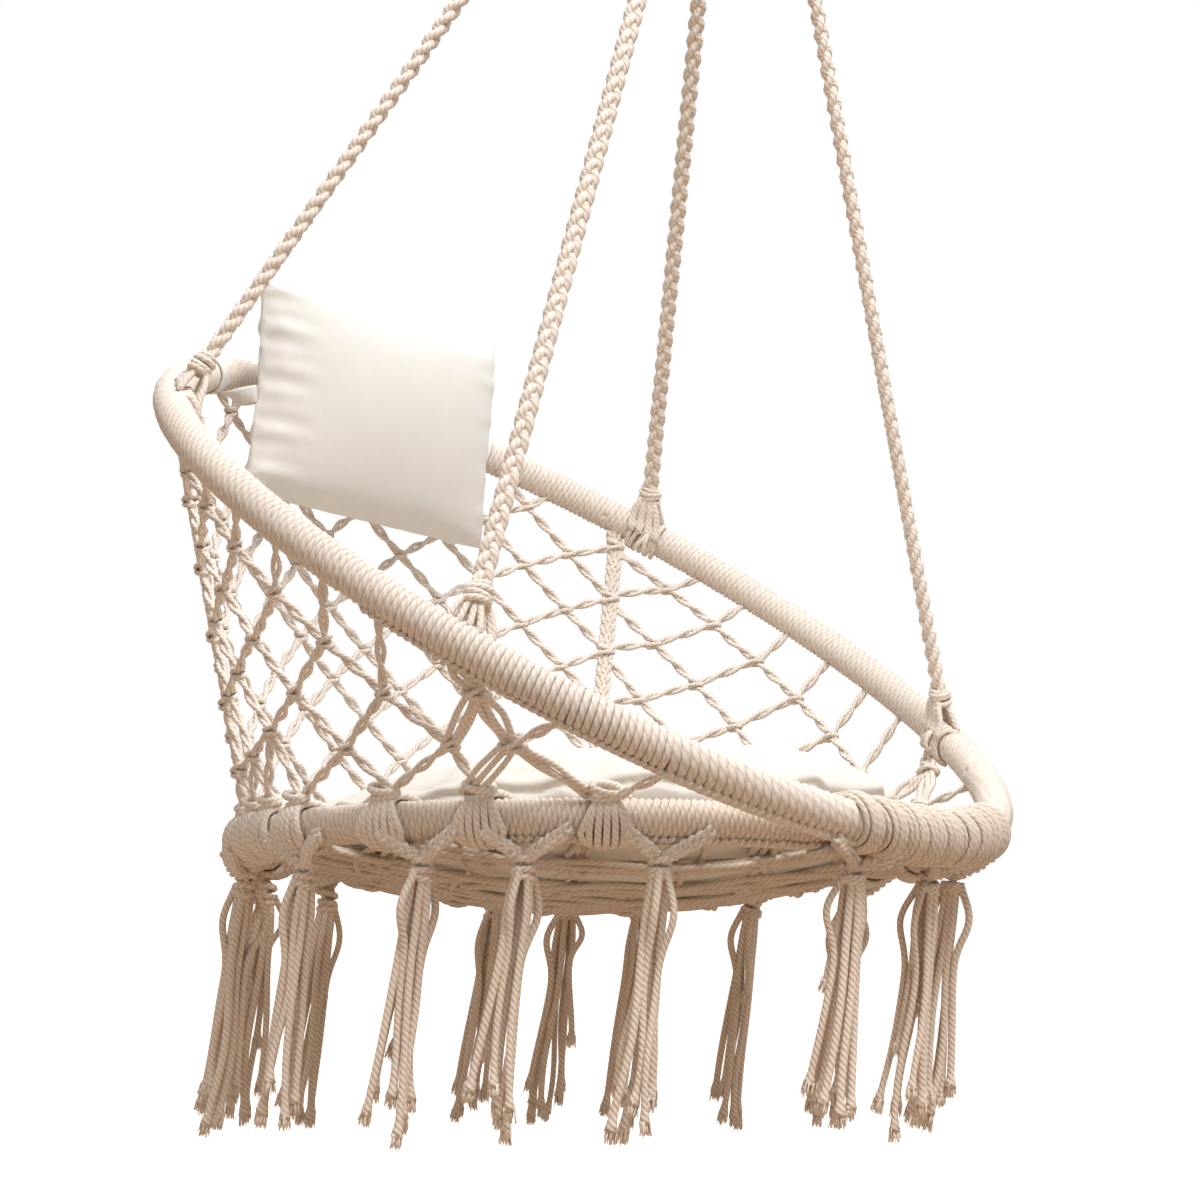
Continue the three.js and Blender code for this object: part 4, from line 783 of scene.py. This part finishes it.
for column in range(1, COLUMNS, 2):
    for row in range(ROWS):
        for neighbour in (column - 1, column + 1):
            link(back, knots[neighbour, row], knots[column, row])
            if row + 1 < ROWS:
                link(back, knots[column, row], knots[neighbour, row + 1])
            else:
                slot = (column - neighbour) * (2 if neighbour % COLUMNS == 0 else 1)
                fasten(back, knots[column, row], seat, tie_slot(column_deg(neighbour), slot), NET_END_REACH)
for column in range(2, COLUMNS, 2):
    for half in (-0.5, 0.5):
        fasten(back, knots[column, 0], upper, column_deg(column + half), NET_TOP_REACH)
for column in (0, COLUMNS):
    deg = column_deg(column)
    top = upper.beside(deg, knots[column, 0][0], WRAP_REACH - 0.002)
    low = seat.beside(tie_slot(deg, 0), knots[column, ROWS - 1][0], 0.021)
    stops = [top] + [knots[column, row][0] for row in range(ROWS)] + [low]
    route = smooth(stops, 0.004)
    edge_across = unit(np.cross(knots[column, 2][1], knot_down(deg)))
    plait(back, route, edge_across, 0.0040, 0.0018, 0.034, phase=column)
    for row in range(ROWS):
        net_knot(back, knots[column, row], deg, 1.35)
for column in range(0, COLUMNS + 1, 2):
    tie(back, column_deg(column), net_point(column_deg(column), 0.8))
for apex_deg in BACK_YOKES:
    seat_yoke(back, apex_deg)
back.piece("back_netting", cotton, "chair", "back_net")

SIDE_ROWS = [8, 6, 4, 3, 2]
SIDE_TIES = [-19.5, -6.5, 13.5, 22.5, 30]
FRONT_TIE = -37.5
SIDE_EDGE_DEG, SIDE_STEP_DEG = 37.5, 8.2


def side_place(row, step, side):
    """A knot of the side net as in the photograph: rows slant down from the edge braid to the front"""
    deg = mirrored(SIDE_EDGE_DEG + row - (SIDE_STEP_DEG - 0.25 * row) * step, side)
    drop = 0.038 + 0.059 * row + (0.008 + 0.0075 * row) * step + 0.00045 * step * step
    return deg, drop / np.linalg.norm(upper.point(deg) - seat.point(deg))


def side_net(side):
    skein = Skein()
    knots = {}

    def add(key, deg, share):
        knots[key] = (net_point(deg, share), net_normal(deg, share))

    def tie_end(key, deg):
        fasten(skein, knots[key], seat, mirrored(deg, side), NET_END_REACH)

    for row, length in enumerate(SIDE_ROWS):
        for step in range(1, length):
            deg, share = side_place(row, step, side)
            add((row, step), deg, share)
            net_knot(skein, knots[row, step], deg, 1.12)
    edge_deg = mirrored(BACK_EDGE, side)
    for row, length in enumerate(SIDE_ROWS):
        share = back_share(0, row)
        edge = net_point(edge_deg, share)
        aside = knot_down(edge_deg) * 0.0045
        link(skein, knots[row, 1], (edge + aside, None))
        for step in range(2, length):
            link(skein, knots[row, step - 1], knots[row, step])
        tie_end((row, length - 1), tie_slot(SIDE_TIES[row], -1))
        if row > 0:
            link(skein, knots[row - 1, 1], (edge - aside, None))
            for step in range(1, length):
                link(skein, knots[row, step], knots[row - 1, step + 1])
            tie_end((row - 1, SIDE_ROWS[row - 1] - 1), tie_slot(SIDE_TIES[row], 1))
    for step in range(1, SIDE_ROWS[0] - 1):
        end_deg = mirrored(SIDE_EDGE_DEG - SIDE_STEP_DEG * step - 5.5, side)
        fasten(skein, knots[0, step], upper, end_deg, NET_TOP_REACH)
    crotch_deg, foot_deg = mirrored(-27, side), mirrored(-29.5, side)
    add("crotch", crotch_deg, 0.27)
    add("foot", foot_deg, 0.54)
    crotch, foot, top_end = knots["crotch"], knots["foot"], knots[0, SIDE_ROWS[0] - 1]
    band = upper.beside(crotch_deg, crotch[0], TIE_REACH)
    normal = crotch[1]
    for start, end in ((band, crotch[0]), (crotch[0], top_end[0]), (crotch[0], foot[0])):
        across = unit(np.cross(end - start, normal))
        strands(skein, start, end, normal, across, 3, gap=0.0052, radius=0.0029, wander=2.2)
    net_knot(skein, crotch, crotch_deg, 1.7)
    net_knot(skein, foot, foot_deg, 1.7)
    for deg in (tie_slot(SIDE_TIES[0], 1), tie_slot(FRONT_TIE, 1)):
        end = seat.beside(mirrored(deg, side), foot[0], NET_END_REACH)
        across = unit(np.cross(end - foot[0], foot[1]))
        strands(skein, foot[0], end, foot[1], across, 3, gap=0.0048, radius=0.0026, wander=2.2)
    fasten(skein, foot, upper, mirrored(-41, side), NET_TOP_REACH)
    runner_deg, runner_top = mirrored(tie_slot(FRONT_TIE, -1), side), mirrored(-54, side)
    start = seat.beside(runner_deg, upper.point(runner_top), 0.0205)
    end = upper.beside(runner_top, start, WRAP_REACH)
    link(skein, (start, unit(seat.point(runner_deg, 1) - seat.point(runner_deg))), (end, None))
    for deg in [*SIDE_TIES, FRONT_TIE]:
        turned = mirrored(deg, side)
        tie(skein, turned, net_point(turned, 0.75))
    return skein


for side, apex_degs in ((-1, LEFT_YOKES), (1, RIGHT_YOKES)):
    net = side_net(side)
    for apex_deg in apex_degs:
        seat_yoke(net, apex_deg)
    net.piece(f"side_netting_{SIDES[side]}", cotton, "chair", f"side_net_{SIDES[side]}")

# Front lashing
# Where the rings touch, a turn's angle on the upper ring is this share of its angle on the seat ring
FRONT_SHARE = 0.33366 / upper.radius
LASHING_FROM, LASHING_SPAN = -17, 42


def front_pair(offset_deg):
    return seat.point(offset_deg - 90), upper.point(offset_deg * FRONT_SHARE - 90)


lashing = Skein()
LUMPS, LOOPS_PER_LUMP = 9, 6
for lump in range(LUMPS):
    for i in range(LOOPS_PER_LUMP):
        share = (i + 0.5) / LOOPS_PER_LUMP
        offset = LASHING_FROM + LASHING_SPAN * (lump + 0.08 + 0.84 * share) / LUMPS
        seat_side, upper_side = front_pair(offset)
        outward = unit(upper_side - seat_side)
        along = unit(front_pair(offset + 1)[0] - seat_side)
        upward = np.cross(along, outward)
        cos, sin = around(26)
        centre = np.where(cos > 0, upper_side, seat_side)
        reach = 0.0168 + 0.0058 * math.sin(math.pi * share) + 0.0005 * math.sin(5 * lump + 2 * i)
        slant = 0.0050 * sin + 0.0010 * math.sin(5 * lump + i)
        points = centre + outward * reach * cos + upward * reach * sin
        lashing.lay(points + along * slant, points - centre, closed=True)
hitch_row(lashing, seat, -108, -66, 0.0090, -70, 0.0215, radius=0.0031, size=1.5)


def front_middle(deg):
    return sum(front_pair(deg + 90)) / 2


FRONT_YOKES = [-101, -80, -67]
for deg in FRONT_YOKES:
    apex = front_middle(deg) + DOWN * YOKE_DROP
    normal = unit(apex * [1, 1, 0])
    feet = [front_middle(deg + spread) + normal * 0.024 + DOWN * 0.014 for spread in FRONT_SPREAD_DEG]
    yoke(lashing, apex, feet, normal)
lashing.piece("front_lashing_turns", shaded_cotton, "chair", "front_lashing")

# Seat net
SEAT_SAG = 0.050
NET_OFFSETS = (np.arange(6) - 2.5) * 0.076
NET_RADIUS, LAST_KNOT_RADIUS = 0.283, 0.262
CORDS_OF_FAMILY = {1: 5, -1: 11}


def seat_net_point(x, y):
    height = -SEAT_SAG * (1 - (np.hypot(x, y) / seat.radius) ** 2)
    return seat.turned(x, y, height) + seat.centre


seat_up = seat.turned(0.0, 0.0, 1.0)
netting = Skein()
for family in (1, -1):
    for offset in NET_OFFSETS:
        reach = math.sqrt(NET_RADIUS**2 - offset**2)
        s = np.linspace(-reach, reach, max(8, round(2 * reach / 0.008)))
        one, other = (s, offset + 0 * s) if family > 0 else (offset + 0 * s, s)
        x, y = (one - other) * math.sqrt(0.5), (one + other) * math.sqrt(0.5)
        line = seat_net_point(x, y)
        across = unit(np.cross(line[-1] - line[0], seat_up))
        cords = CORDS_OF_FAMILY[family]
        for k in range(cords):
            drift = (k - (cords - 1) / 2) * 0.0064 + 0.0090 * np.sin(s * 29 + 2.4 * k + 40 * offset)
            lift = 0.0022 * np.sin(s * 41 + 1.7 * k) + 0.0012 * family
            netting.lay(line + across * drift[:, None] + seat_up * lift[:, None], seat_up)
for one in NET_OFFSETS:
    for other in NET_OFFSETS:
        x, y = (one - other) * math.sqrt(0.5), (one + other) * math.sqrt(0.5)
        if math.hypot(x, y) < LAST_KNOT_RADIUS:
            centre = seat_net_point(x, y)
            heading = np.array([math.cos(7 * x), math.sin(9 * y), 0])
            bind(netting, centre, heading, seat_up, 0.0115, 0.0066, pitch=0.0058, radius=0.0029)
netting.piece("seat_netting", shaded_cotton, "chair", "seat_net")

# Tassels
TASSEL_LENGTH = 0.213
TASSEL_CORD = 0.0031
TASSEL_CORDS, SHORT_CORD = 8, 5
HAIRS_PER_END = 38
HEAD_REACH = 0.0046
apexes = [seat.point(deg) + DOWN * YOKE_DROP for deg in LEFT_YOKES + BACK_YOKES + RIGHT_YOKES]
apexes += [front_middle(deg) + DOWN * YOKE_DROP for deg in FRONT_YOKES]
for number, apex in enumerate(apexes, 1):
    fringe = Skein()
    top = apex + DOWN * (YOKE_STUB + 0.0004)
    outward = unit(top * [1, 1, 0])
    along = np.cross(outward, DOWN)
    bind(fringe, top + DOWN * 0.0052, DOWN, outward, 0.0084, 0.0072, pitch=0.0050, radius=0.0029, tilt=0.16)
    stray = set(chance.choice(TASSEL_CORDS, 2, replace=False).tolist())
    for k in range(TASSEL_CORDS):
        angle = TURN * (k + 0.35 * chance.random()) / TASSEL_CORDS
        spread = along * math.cos(angle) + outward * math.sin(angle)
        length = TASSEL_LENGTH * (0.78 + 0.19 * chance.random())
        if k == SHORT_CORD:
            length *= 0.45 + 0.4 * chance.random()
        end_reach = 0.007 + 0.015 * chance.random()
        s = np.linspace(0, 1, 34)
        bow = (0.009 + 0.008 * chance.random()) if k in stray else 0.003 * chance.random()
        reach = HEAD_REACH + (end_reach - HEAD_REACH) * s + bow * np.exp(-((s - 0.17) / 0.14) ** 2)
        sway = 0.0042 * np.sin(s * TURN * (0.6 + 0.8 * chance.random()) + TURN * chance.random()) * s
        line = top + DOWN * (0.001 + length * s)[:, None] + spread * reach[:, None]
        line = line + np.cross(spread, DOWN) * sway[:, None]
        flare = 1 + 0.60 * np.clip((s - 0.94) / 0.06, 0, 1)
        radius = TASSEL_CORD * (0.90 + 0.2 * chance.random()) * flare
        fringe.lay(line, spread, radius, sides=8)
        tip, heading = line[-1], unit(line[-1] - line[-3])
        for _ in range(HAIRS_PER_END):
            lean = unit(np.cross(heading, chance.normal(0, 1, 3)))
            root = tip - heading * 0.003 + lean * TASSEL_CORD * 1.4 * math.sqrt(chance.random())
            reach = 0.007 + 0.006 * chance.random()
            bend = root + heading * reach * 0.6 + lean * 0.0003
            end = root + heading * reach + lean * 0.0015 * chance.random()
            fringe.lay([root, bend, end], lean, HAIR_RADII, sides=HAIR_SIDES)
    fringe.piece(f"tassel_cords_{number:02d}", tassel_cotton, f"fringe_{number:02d}", f"tassel_{number:02d}")


# Padded pieces
def skin(name, coords, faces):
    mesh = bpy.data.meshes.new(name)
    mesh.from_pydata([tuple(c) for c in coords], [], faces)
    mesh.update()
    piece = new_object(name, mesh)
    select_only(piece)
    return piece


def coords_of(piece):
    flat = np.zeros(len(piece.data.vertices) * 3)
    piece.data.vertices.foreach_get("co", flat)
    return flat.reshape(-1, 3)


def set_coords(piece, coords):
    piece.data.vertices.foreach_set("co", coords.ravel())
    piece.data.update()


def modify(piece, kind, **settings):
    modifier = piece.modifiers.new(kind.lower(), kind)
    for label, value in settings.items():
        setattr(modifier, label, value)
    bpy.ops.object.modifier_apply(modifier=modifier.name)


AIR_FRAMES = 20


def fill_with_air(piece, voxel, pressure, cap):
    """The cover is blown up as cloth, and no point moves further than the cap"""
    modify(piece, "REMESH", mode="VOXEL", voxel_size=voxel)
    before = coords_of(piece)
    cloth = piece.modifiers.new("cover", "CLOTH")
    settings = cloth.settings
    settings.use_pressure = True
    settings.uniform_pressure_force = pressure
    settings.effector_weights.gravity = 0
    settings.quality = 5
    settings.tension_stiffness = 12
    settings.bending_stiffness = 0.4
    cloth.point_cache.frame_start, cloth.point_cache.frame_end = 1, AIR_FRAMES
    for number in range(1, AIR_FRAMES + 1):
        scene.frame_set(number)
    bpy.ops.object.modifier_apply(modifier=cloth.name)
    move = coords_of(piece) - before
    size = np.linalg.norm(move, axis=1, keepdims=True)
    set_coords(piece, before + move * np.minimum(1, cap / np.maximum(size, 1e-9)))
    scene.frame_set(1)


CUSHION_RADIUS = 0.282
CUSHION_SEAM = 0.020
FRONT_RISE = 0.7
# Reach and height over the seat ring's plane, from the middle of the underside to that of the top
UNDER_HEIGHT, CROWN_HEIGHT = -0.043, 0.048
CUSHION_PROFILE = [
    (0.09, -0.0385), (0.17, -0.027), (0.225, -0.015), (0.256, -0.005), (0.272, 0.006), (0.279, 0.018),
    (0.275, 0.028), (0.256, 0.036), (0.222, 0.043), (0.165, 0.047), (0.08, 0.048),
]
WELT_REACH = 0.256
# Folds round the rim: count, phase and share
PLEATS = ((13, 0.4, 0.8), (22, 1.9, 0.7), (31, 0.2, 0.6), (47, 2.7, 0.3))


def to_seat(coords):
    local = coords - seat.centre
    x, y, z = local.T
    return np.stack([x, y * seat.cos + z * seat.sin, -y * seat.sin + z * seat.cos], 1)


def from_seat(local):
    return seat.turned(*local.T) + seat.centre


def make_cushion():
    segments, levels = 96, len(CUSHION_PROFILE)
    coords = [(0, 0, UNDER_HEIGHT)]
    for reach, height in CUSHION_PROFILE:
        for k in range(segments):
            angle = TURN * k / segments
            coords.append((reach * math.cos(angle), reach * math.sin(angle), height))
    coords = np.array([*coords, (0, 0, CROWN_HEIGHT)])
    faces = []
    for k in range(segments):
        after = (k + 1) % segments
        faces.append((0, 1 + after, 1 + k))
        for base in range(1, 1 + (levels - 1) * segments, segments):
            faces.append((base + k, base + after, base + segments + after, base + segments + k))
        top = 1 + (levels - 1) * segments
        faces.append((top + k, top + after, len(coords) - 1))
    coords[:, 2] *= np.where(coords[:, 2] > 0, 1 - FRONT_RISE * coords[:, 1] / CUSHION_RADIUS, 1)
    piece = skin("round_seat_cushion", from_seat(coords), faces)
    fill_with_air(piece, 0.006, 4, 0.008)
    modify(piece, "SMOOTH", iterations=4)
    modify(piece, "SUBSURF", levels=1)
    local = to_seat(coords_of(piece))
    x, y, z = local.T
    reach, angle = np.hypot(x, y), np.arctan2(y, x)
    rim = np.clip((reach - 0.19) / 0.085, 0, 1) ** 2
    above_seam = z > CUSHION_SEAM
    welt = 0.0034 * np.exp(-((reach - WELT_REACH) / 0.0032) ** 2) * above_seam
    pleats = sum(np.sin(count * angle + phase) * share for count, phase, share in PLEATS)
    seam = CUSHION_SEAM * (1 - FRONT_RISE * y / CUSHION_RADIUS)
    above = np.exp(-((z - seam) / 0.024) ** 2)
    draw = np.exp(-((z - seam) / 0.0035) ** 2) * np.clip((reach - 0.24) / 0.02, 0, 1)
    swell = 1 + (0.0026 * pleats * rim * above - 0.0055 * draw) / np.maximum(reach, 0.05)
    local[:, :2] *= swell[:, None]
    local[:, 2] += 0.0030 * pleats * rim * above_seam - welt
    set_coords(piece, from_seat(local))
    bpy.ops.object.shade_smooth()
    dress(piece, cushion_canvas, "cushion", "seat_cushion")


make_cushion()

PILLOW_CENTRE = np.array([-0.012, 0.3220, -0.8850])
PILLOW_WIDTH, PILLOW_HEIGHT = 0.352, 0.220
PILLOW_BEND = 0.010
PILLOW_LEAN = 0.06
PILLOW_THICKNESS = 0.073
# The back half is flatter, so that it rocks clear of the net
FRONT_FULLNESS, BACK_FULLNESS = 1.06, 0.62


def pillow_shape(u, v, facing):
    x = PILLOW_WIDTH / 2 * u * (1 - 0.055 * (1 - v * v))
    z = PILLOW_HEIGHT / 2 * v * (1 - 0.040 * (1 - u * u))
    swell = np.sqrt(np.maximum((1 - u * u) * (1 - v * v), 0)) ** 1.3
    fullness = BACK_FULLNESS if facing > 0 else FRONT_FULLNESS
    y = facing * fullness * PILLOW_THICKNESS * swell / 2 - PILLOW_BEND * u * u + PILLOW_LEAN * z
    return np.stack([x, y, z], -1) + PILLOW_CENTRE


def make_pillow():
    columns, rows = 40, 26
    faces, coords = [], []
    for facing in (-1, 1):
        first = len(coords)
        u, v = np.meshgrid(np.linspace(-1, 1, columns + 1), np.linspace(-1, 1, rows + 1))
        coords.extend(pillow_shape(u, v, facing).reshape(-1, 3))
        for row in range(rows):
            for column in range(columns):
                a = first + row * (columns + 1) + column
                b, c, d = a + 1, a + columns + 1, a + columns + 2
                faces.append((a, b, d, c) if facing < 0 else (a, c, d, b))
    piece = skin("strapped_pillow", coords, faces)
    bpy.ops.object.mode_set(mode="EDIT")
    bpy.ops.mesh.select_all(action="SELECT")
    bpy.ops.mesh.remove_doubles(threshold=0.0002)
    bpy.ops.object.mode_set(mode="OBJECT")
    modify(piece, "DISPLACE", strength=0.0022, mid_level=0)
    fill_with_air(piece, 0.0045, 3, 0.005)
    modify(piece, "SMOOTH", iterations=8)
    modify(piece, "SUBSURF", levels=1)
    local = coords_of(piece) - PILLOW_CENTRE
    x, y, z = local.T
    u, v = x / (PILLOW_WIDTH / 2), z / (PILLOW_HEIGHT / 2)
    side_seam = np.clip((np.abs(u) - 0.55) / 0.40, 0, 1) ** 1.6
    end_seam = np.clip((np.abs(v) - 0.62) / 0.35, 0, 1) ** 2
    gathers = np.sin(z * 190 + 3 * u) + 0.6 * np.sin(z * 330 + 1.3 - 2 * u)
    gathers = gathers * np.where(u < 0, 1.0, 0.35)
    puckers = np.sin(x * 150 + v) + 0.5 * np.sin(x * 330)
    depth = y - (PILLOW_LEAN * z - PILLOW_BEND * u * u)
    folds = 0.0021 * gathers * side_seam + 0.0010 * puckers * end_seam
    most = 0.3 * np.abs(depth)
    local[:, 1] += np.sign(depth) * np.clip(folds, -most, most)
    set_coords(piece, local + PILLOW_CENTRE)
    bpy.ops.object.shade_smooth()
    dress(piece, canvas, "headrest", "pillow")


make_pillow()

STRAP_DEG = 62


def make_strap(side):
    """A cloth loop round the ring and its tongue to the side seam of the pillow"""
    name = SIDES[side]
    deg = mirrored(STRAP_DEG, side)
    axis, along = upper.point(deg), upper.tangent(deg)
    seam = PILLOW_CENTRE + [side * PILLOW_WIDTH / 2 * 0.915, -PILLOW_BEND, -0.010]
    toward = square(seam - axis, along)
    strap = Skein()
    cos, sin = around(28)
    reach = WRAP_REACH + 0.0007
    round_out = toward * cos + np.cross(along, toward) * sin
    points = axis + round_out * reach
    strap.lay(points, round_out, 0.0011, sides=8, closed=True, flat=9.0)
    for edge in (-0.0085, 0.0085):
        hem = points + along * edge + (points - axis) * 0.04
        strap.lay(hem, round_out, 0.0005, sides=HAIR_SIDES, closed=True)
    start = axis + unit(toward - [0, 0, 1.2]) * (reach - 0.0002)
    stops = [start, start + (seam - start) * 0.5 - [0, 0, 0.004], seam]
    route = smooth(stops, 0.004)
    blend = np.linspace(0, 1, len(route))[:, None]
    facing = unit(np.cross(seam - axis, along * (1 - blend) - DOWN * blend))
    strap.lay(route, facing, 0.0011, sides=8, flat=8.0)
    strap.piece(f"pillow_strap_band_{name}", canvas, "chair", f"pillow_strap_{name}", slot="cloth")


make_strap(-1)
make_strap(1)

# Stage and light
FLOOR_Z = -1.76
AIM = (0, 0, -1.05)


def stage_material():
    finish = Finish("pale_floor")
    finish.surface((0.46, 0.335, 0.24), 0.9, Specular_IOR_Level=0.0)
    glow = finish.add("Emission", Strength=finish.rays("Camera", "Glossy"))
    total = finish.add("AddShader")
    finish.feed(total.inputs[0], finish.shader.outputs[0])
    finish.feed(total.inputs[1], glow.outputs[0])
    finish.feed(finish.nodes["Material Output"].inputs["Surface"], total.outputs[0])
    return finish.material


bpy.ops.mesh.primitive_plane_add(size=60, location=(0, 0, FLOOR_Z))
floor = bpy.context.object
floor.name = "pale_floor"
apply_place(floor)
floor.data.materials.append(stage_material())

world = scene.world or bpy.data.worlds.new("studio")
scene.world = world
world.use_nodes = True
world.node_tree.nodes.clear()
sky = Tree(world.node_tree)
rise = sky.add("SeparateXYZ", Vector=sky.add("TexCoord").outputs["Generated"]).outputs["Z"]
height = sky.maths("MULTIPLY_ADD", rise, 1.4, 0.4, clamped=True)
studio = sky.mix(height, (0.32, 0.235, 0.17), (0.53, 0.52, 0.51))
shown = sky.mix(sky.rays("Camera", "Glossy", "Transmission"), studio, (1.0, 1.0, 1.0))
background = sky.add("Background", Color=shown)
sky.add("OutputWorld", Surface=background.outputs[0])


def soft_box(name, place, size, power):
    data = bpy.data.lights.new(name, "AREA")
    data.shape, data.size, data.energy = "DISK", size, power
    lamp = new_object(name, data)
    aim = Vector(AIM) - Vector(place)
    lamp.rotation_euler = aim.to_track_quat("-Z", "Y").to_euler()
    lamp.location = place
    lamp.visible_camera = False


soft_box("key_light", place=(-1.3, -1.7, 2.2), size=1.8, power=122)
soft_box("top_light", place=(0.2, 0.2, 1.9), size=2.4, power=44)
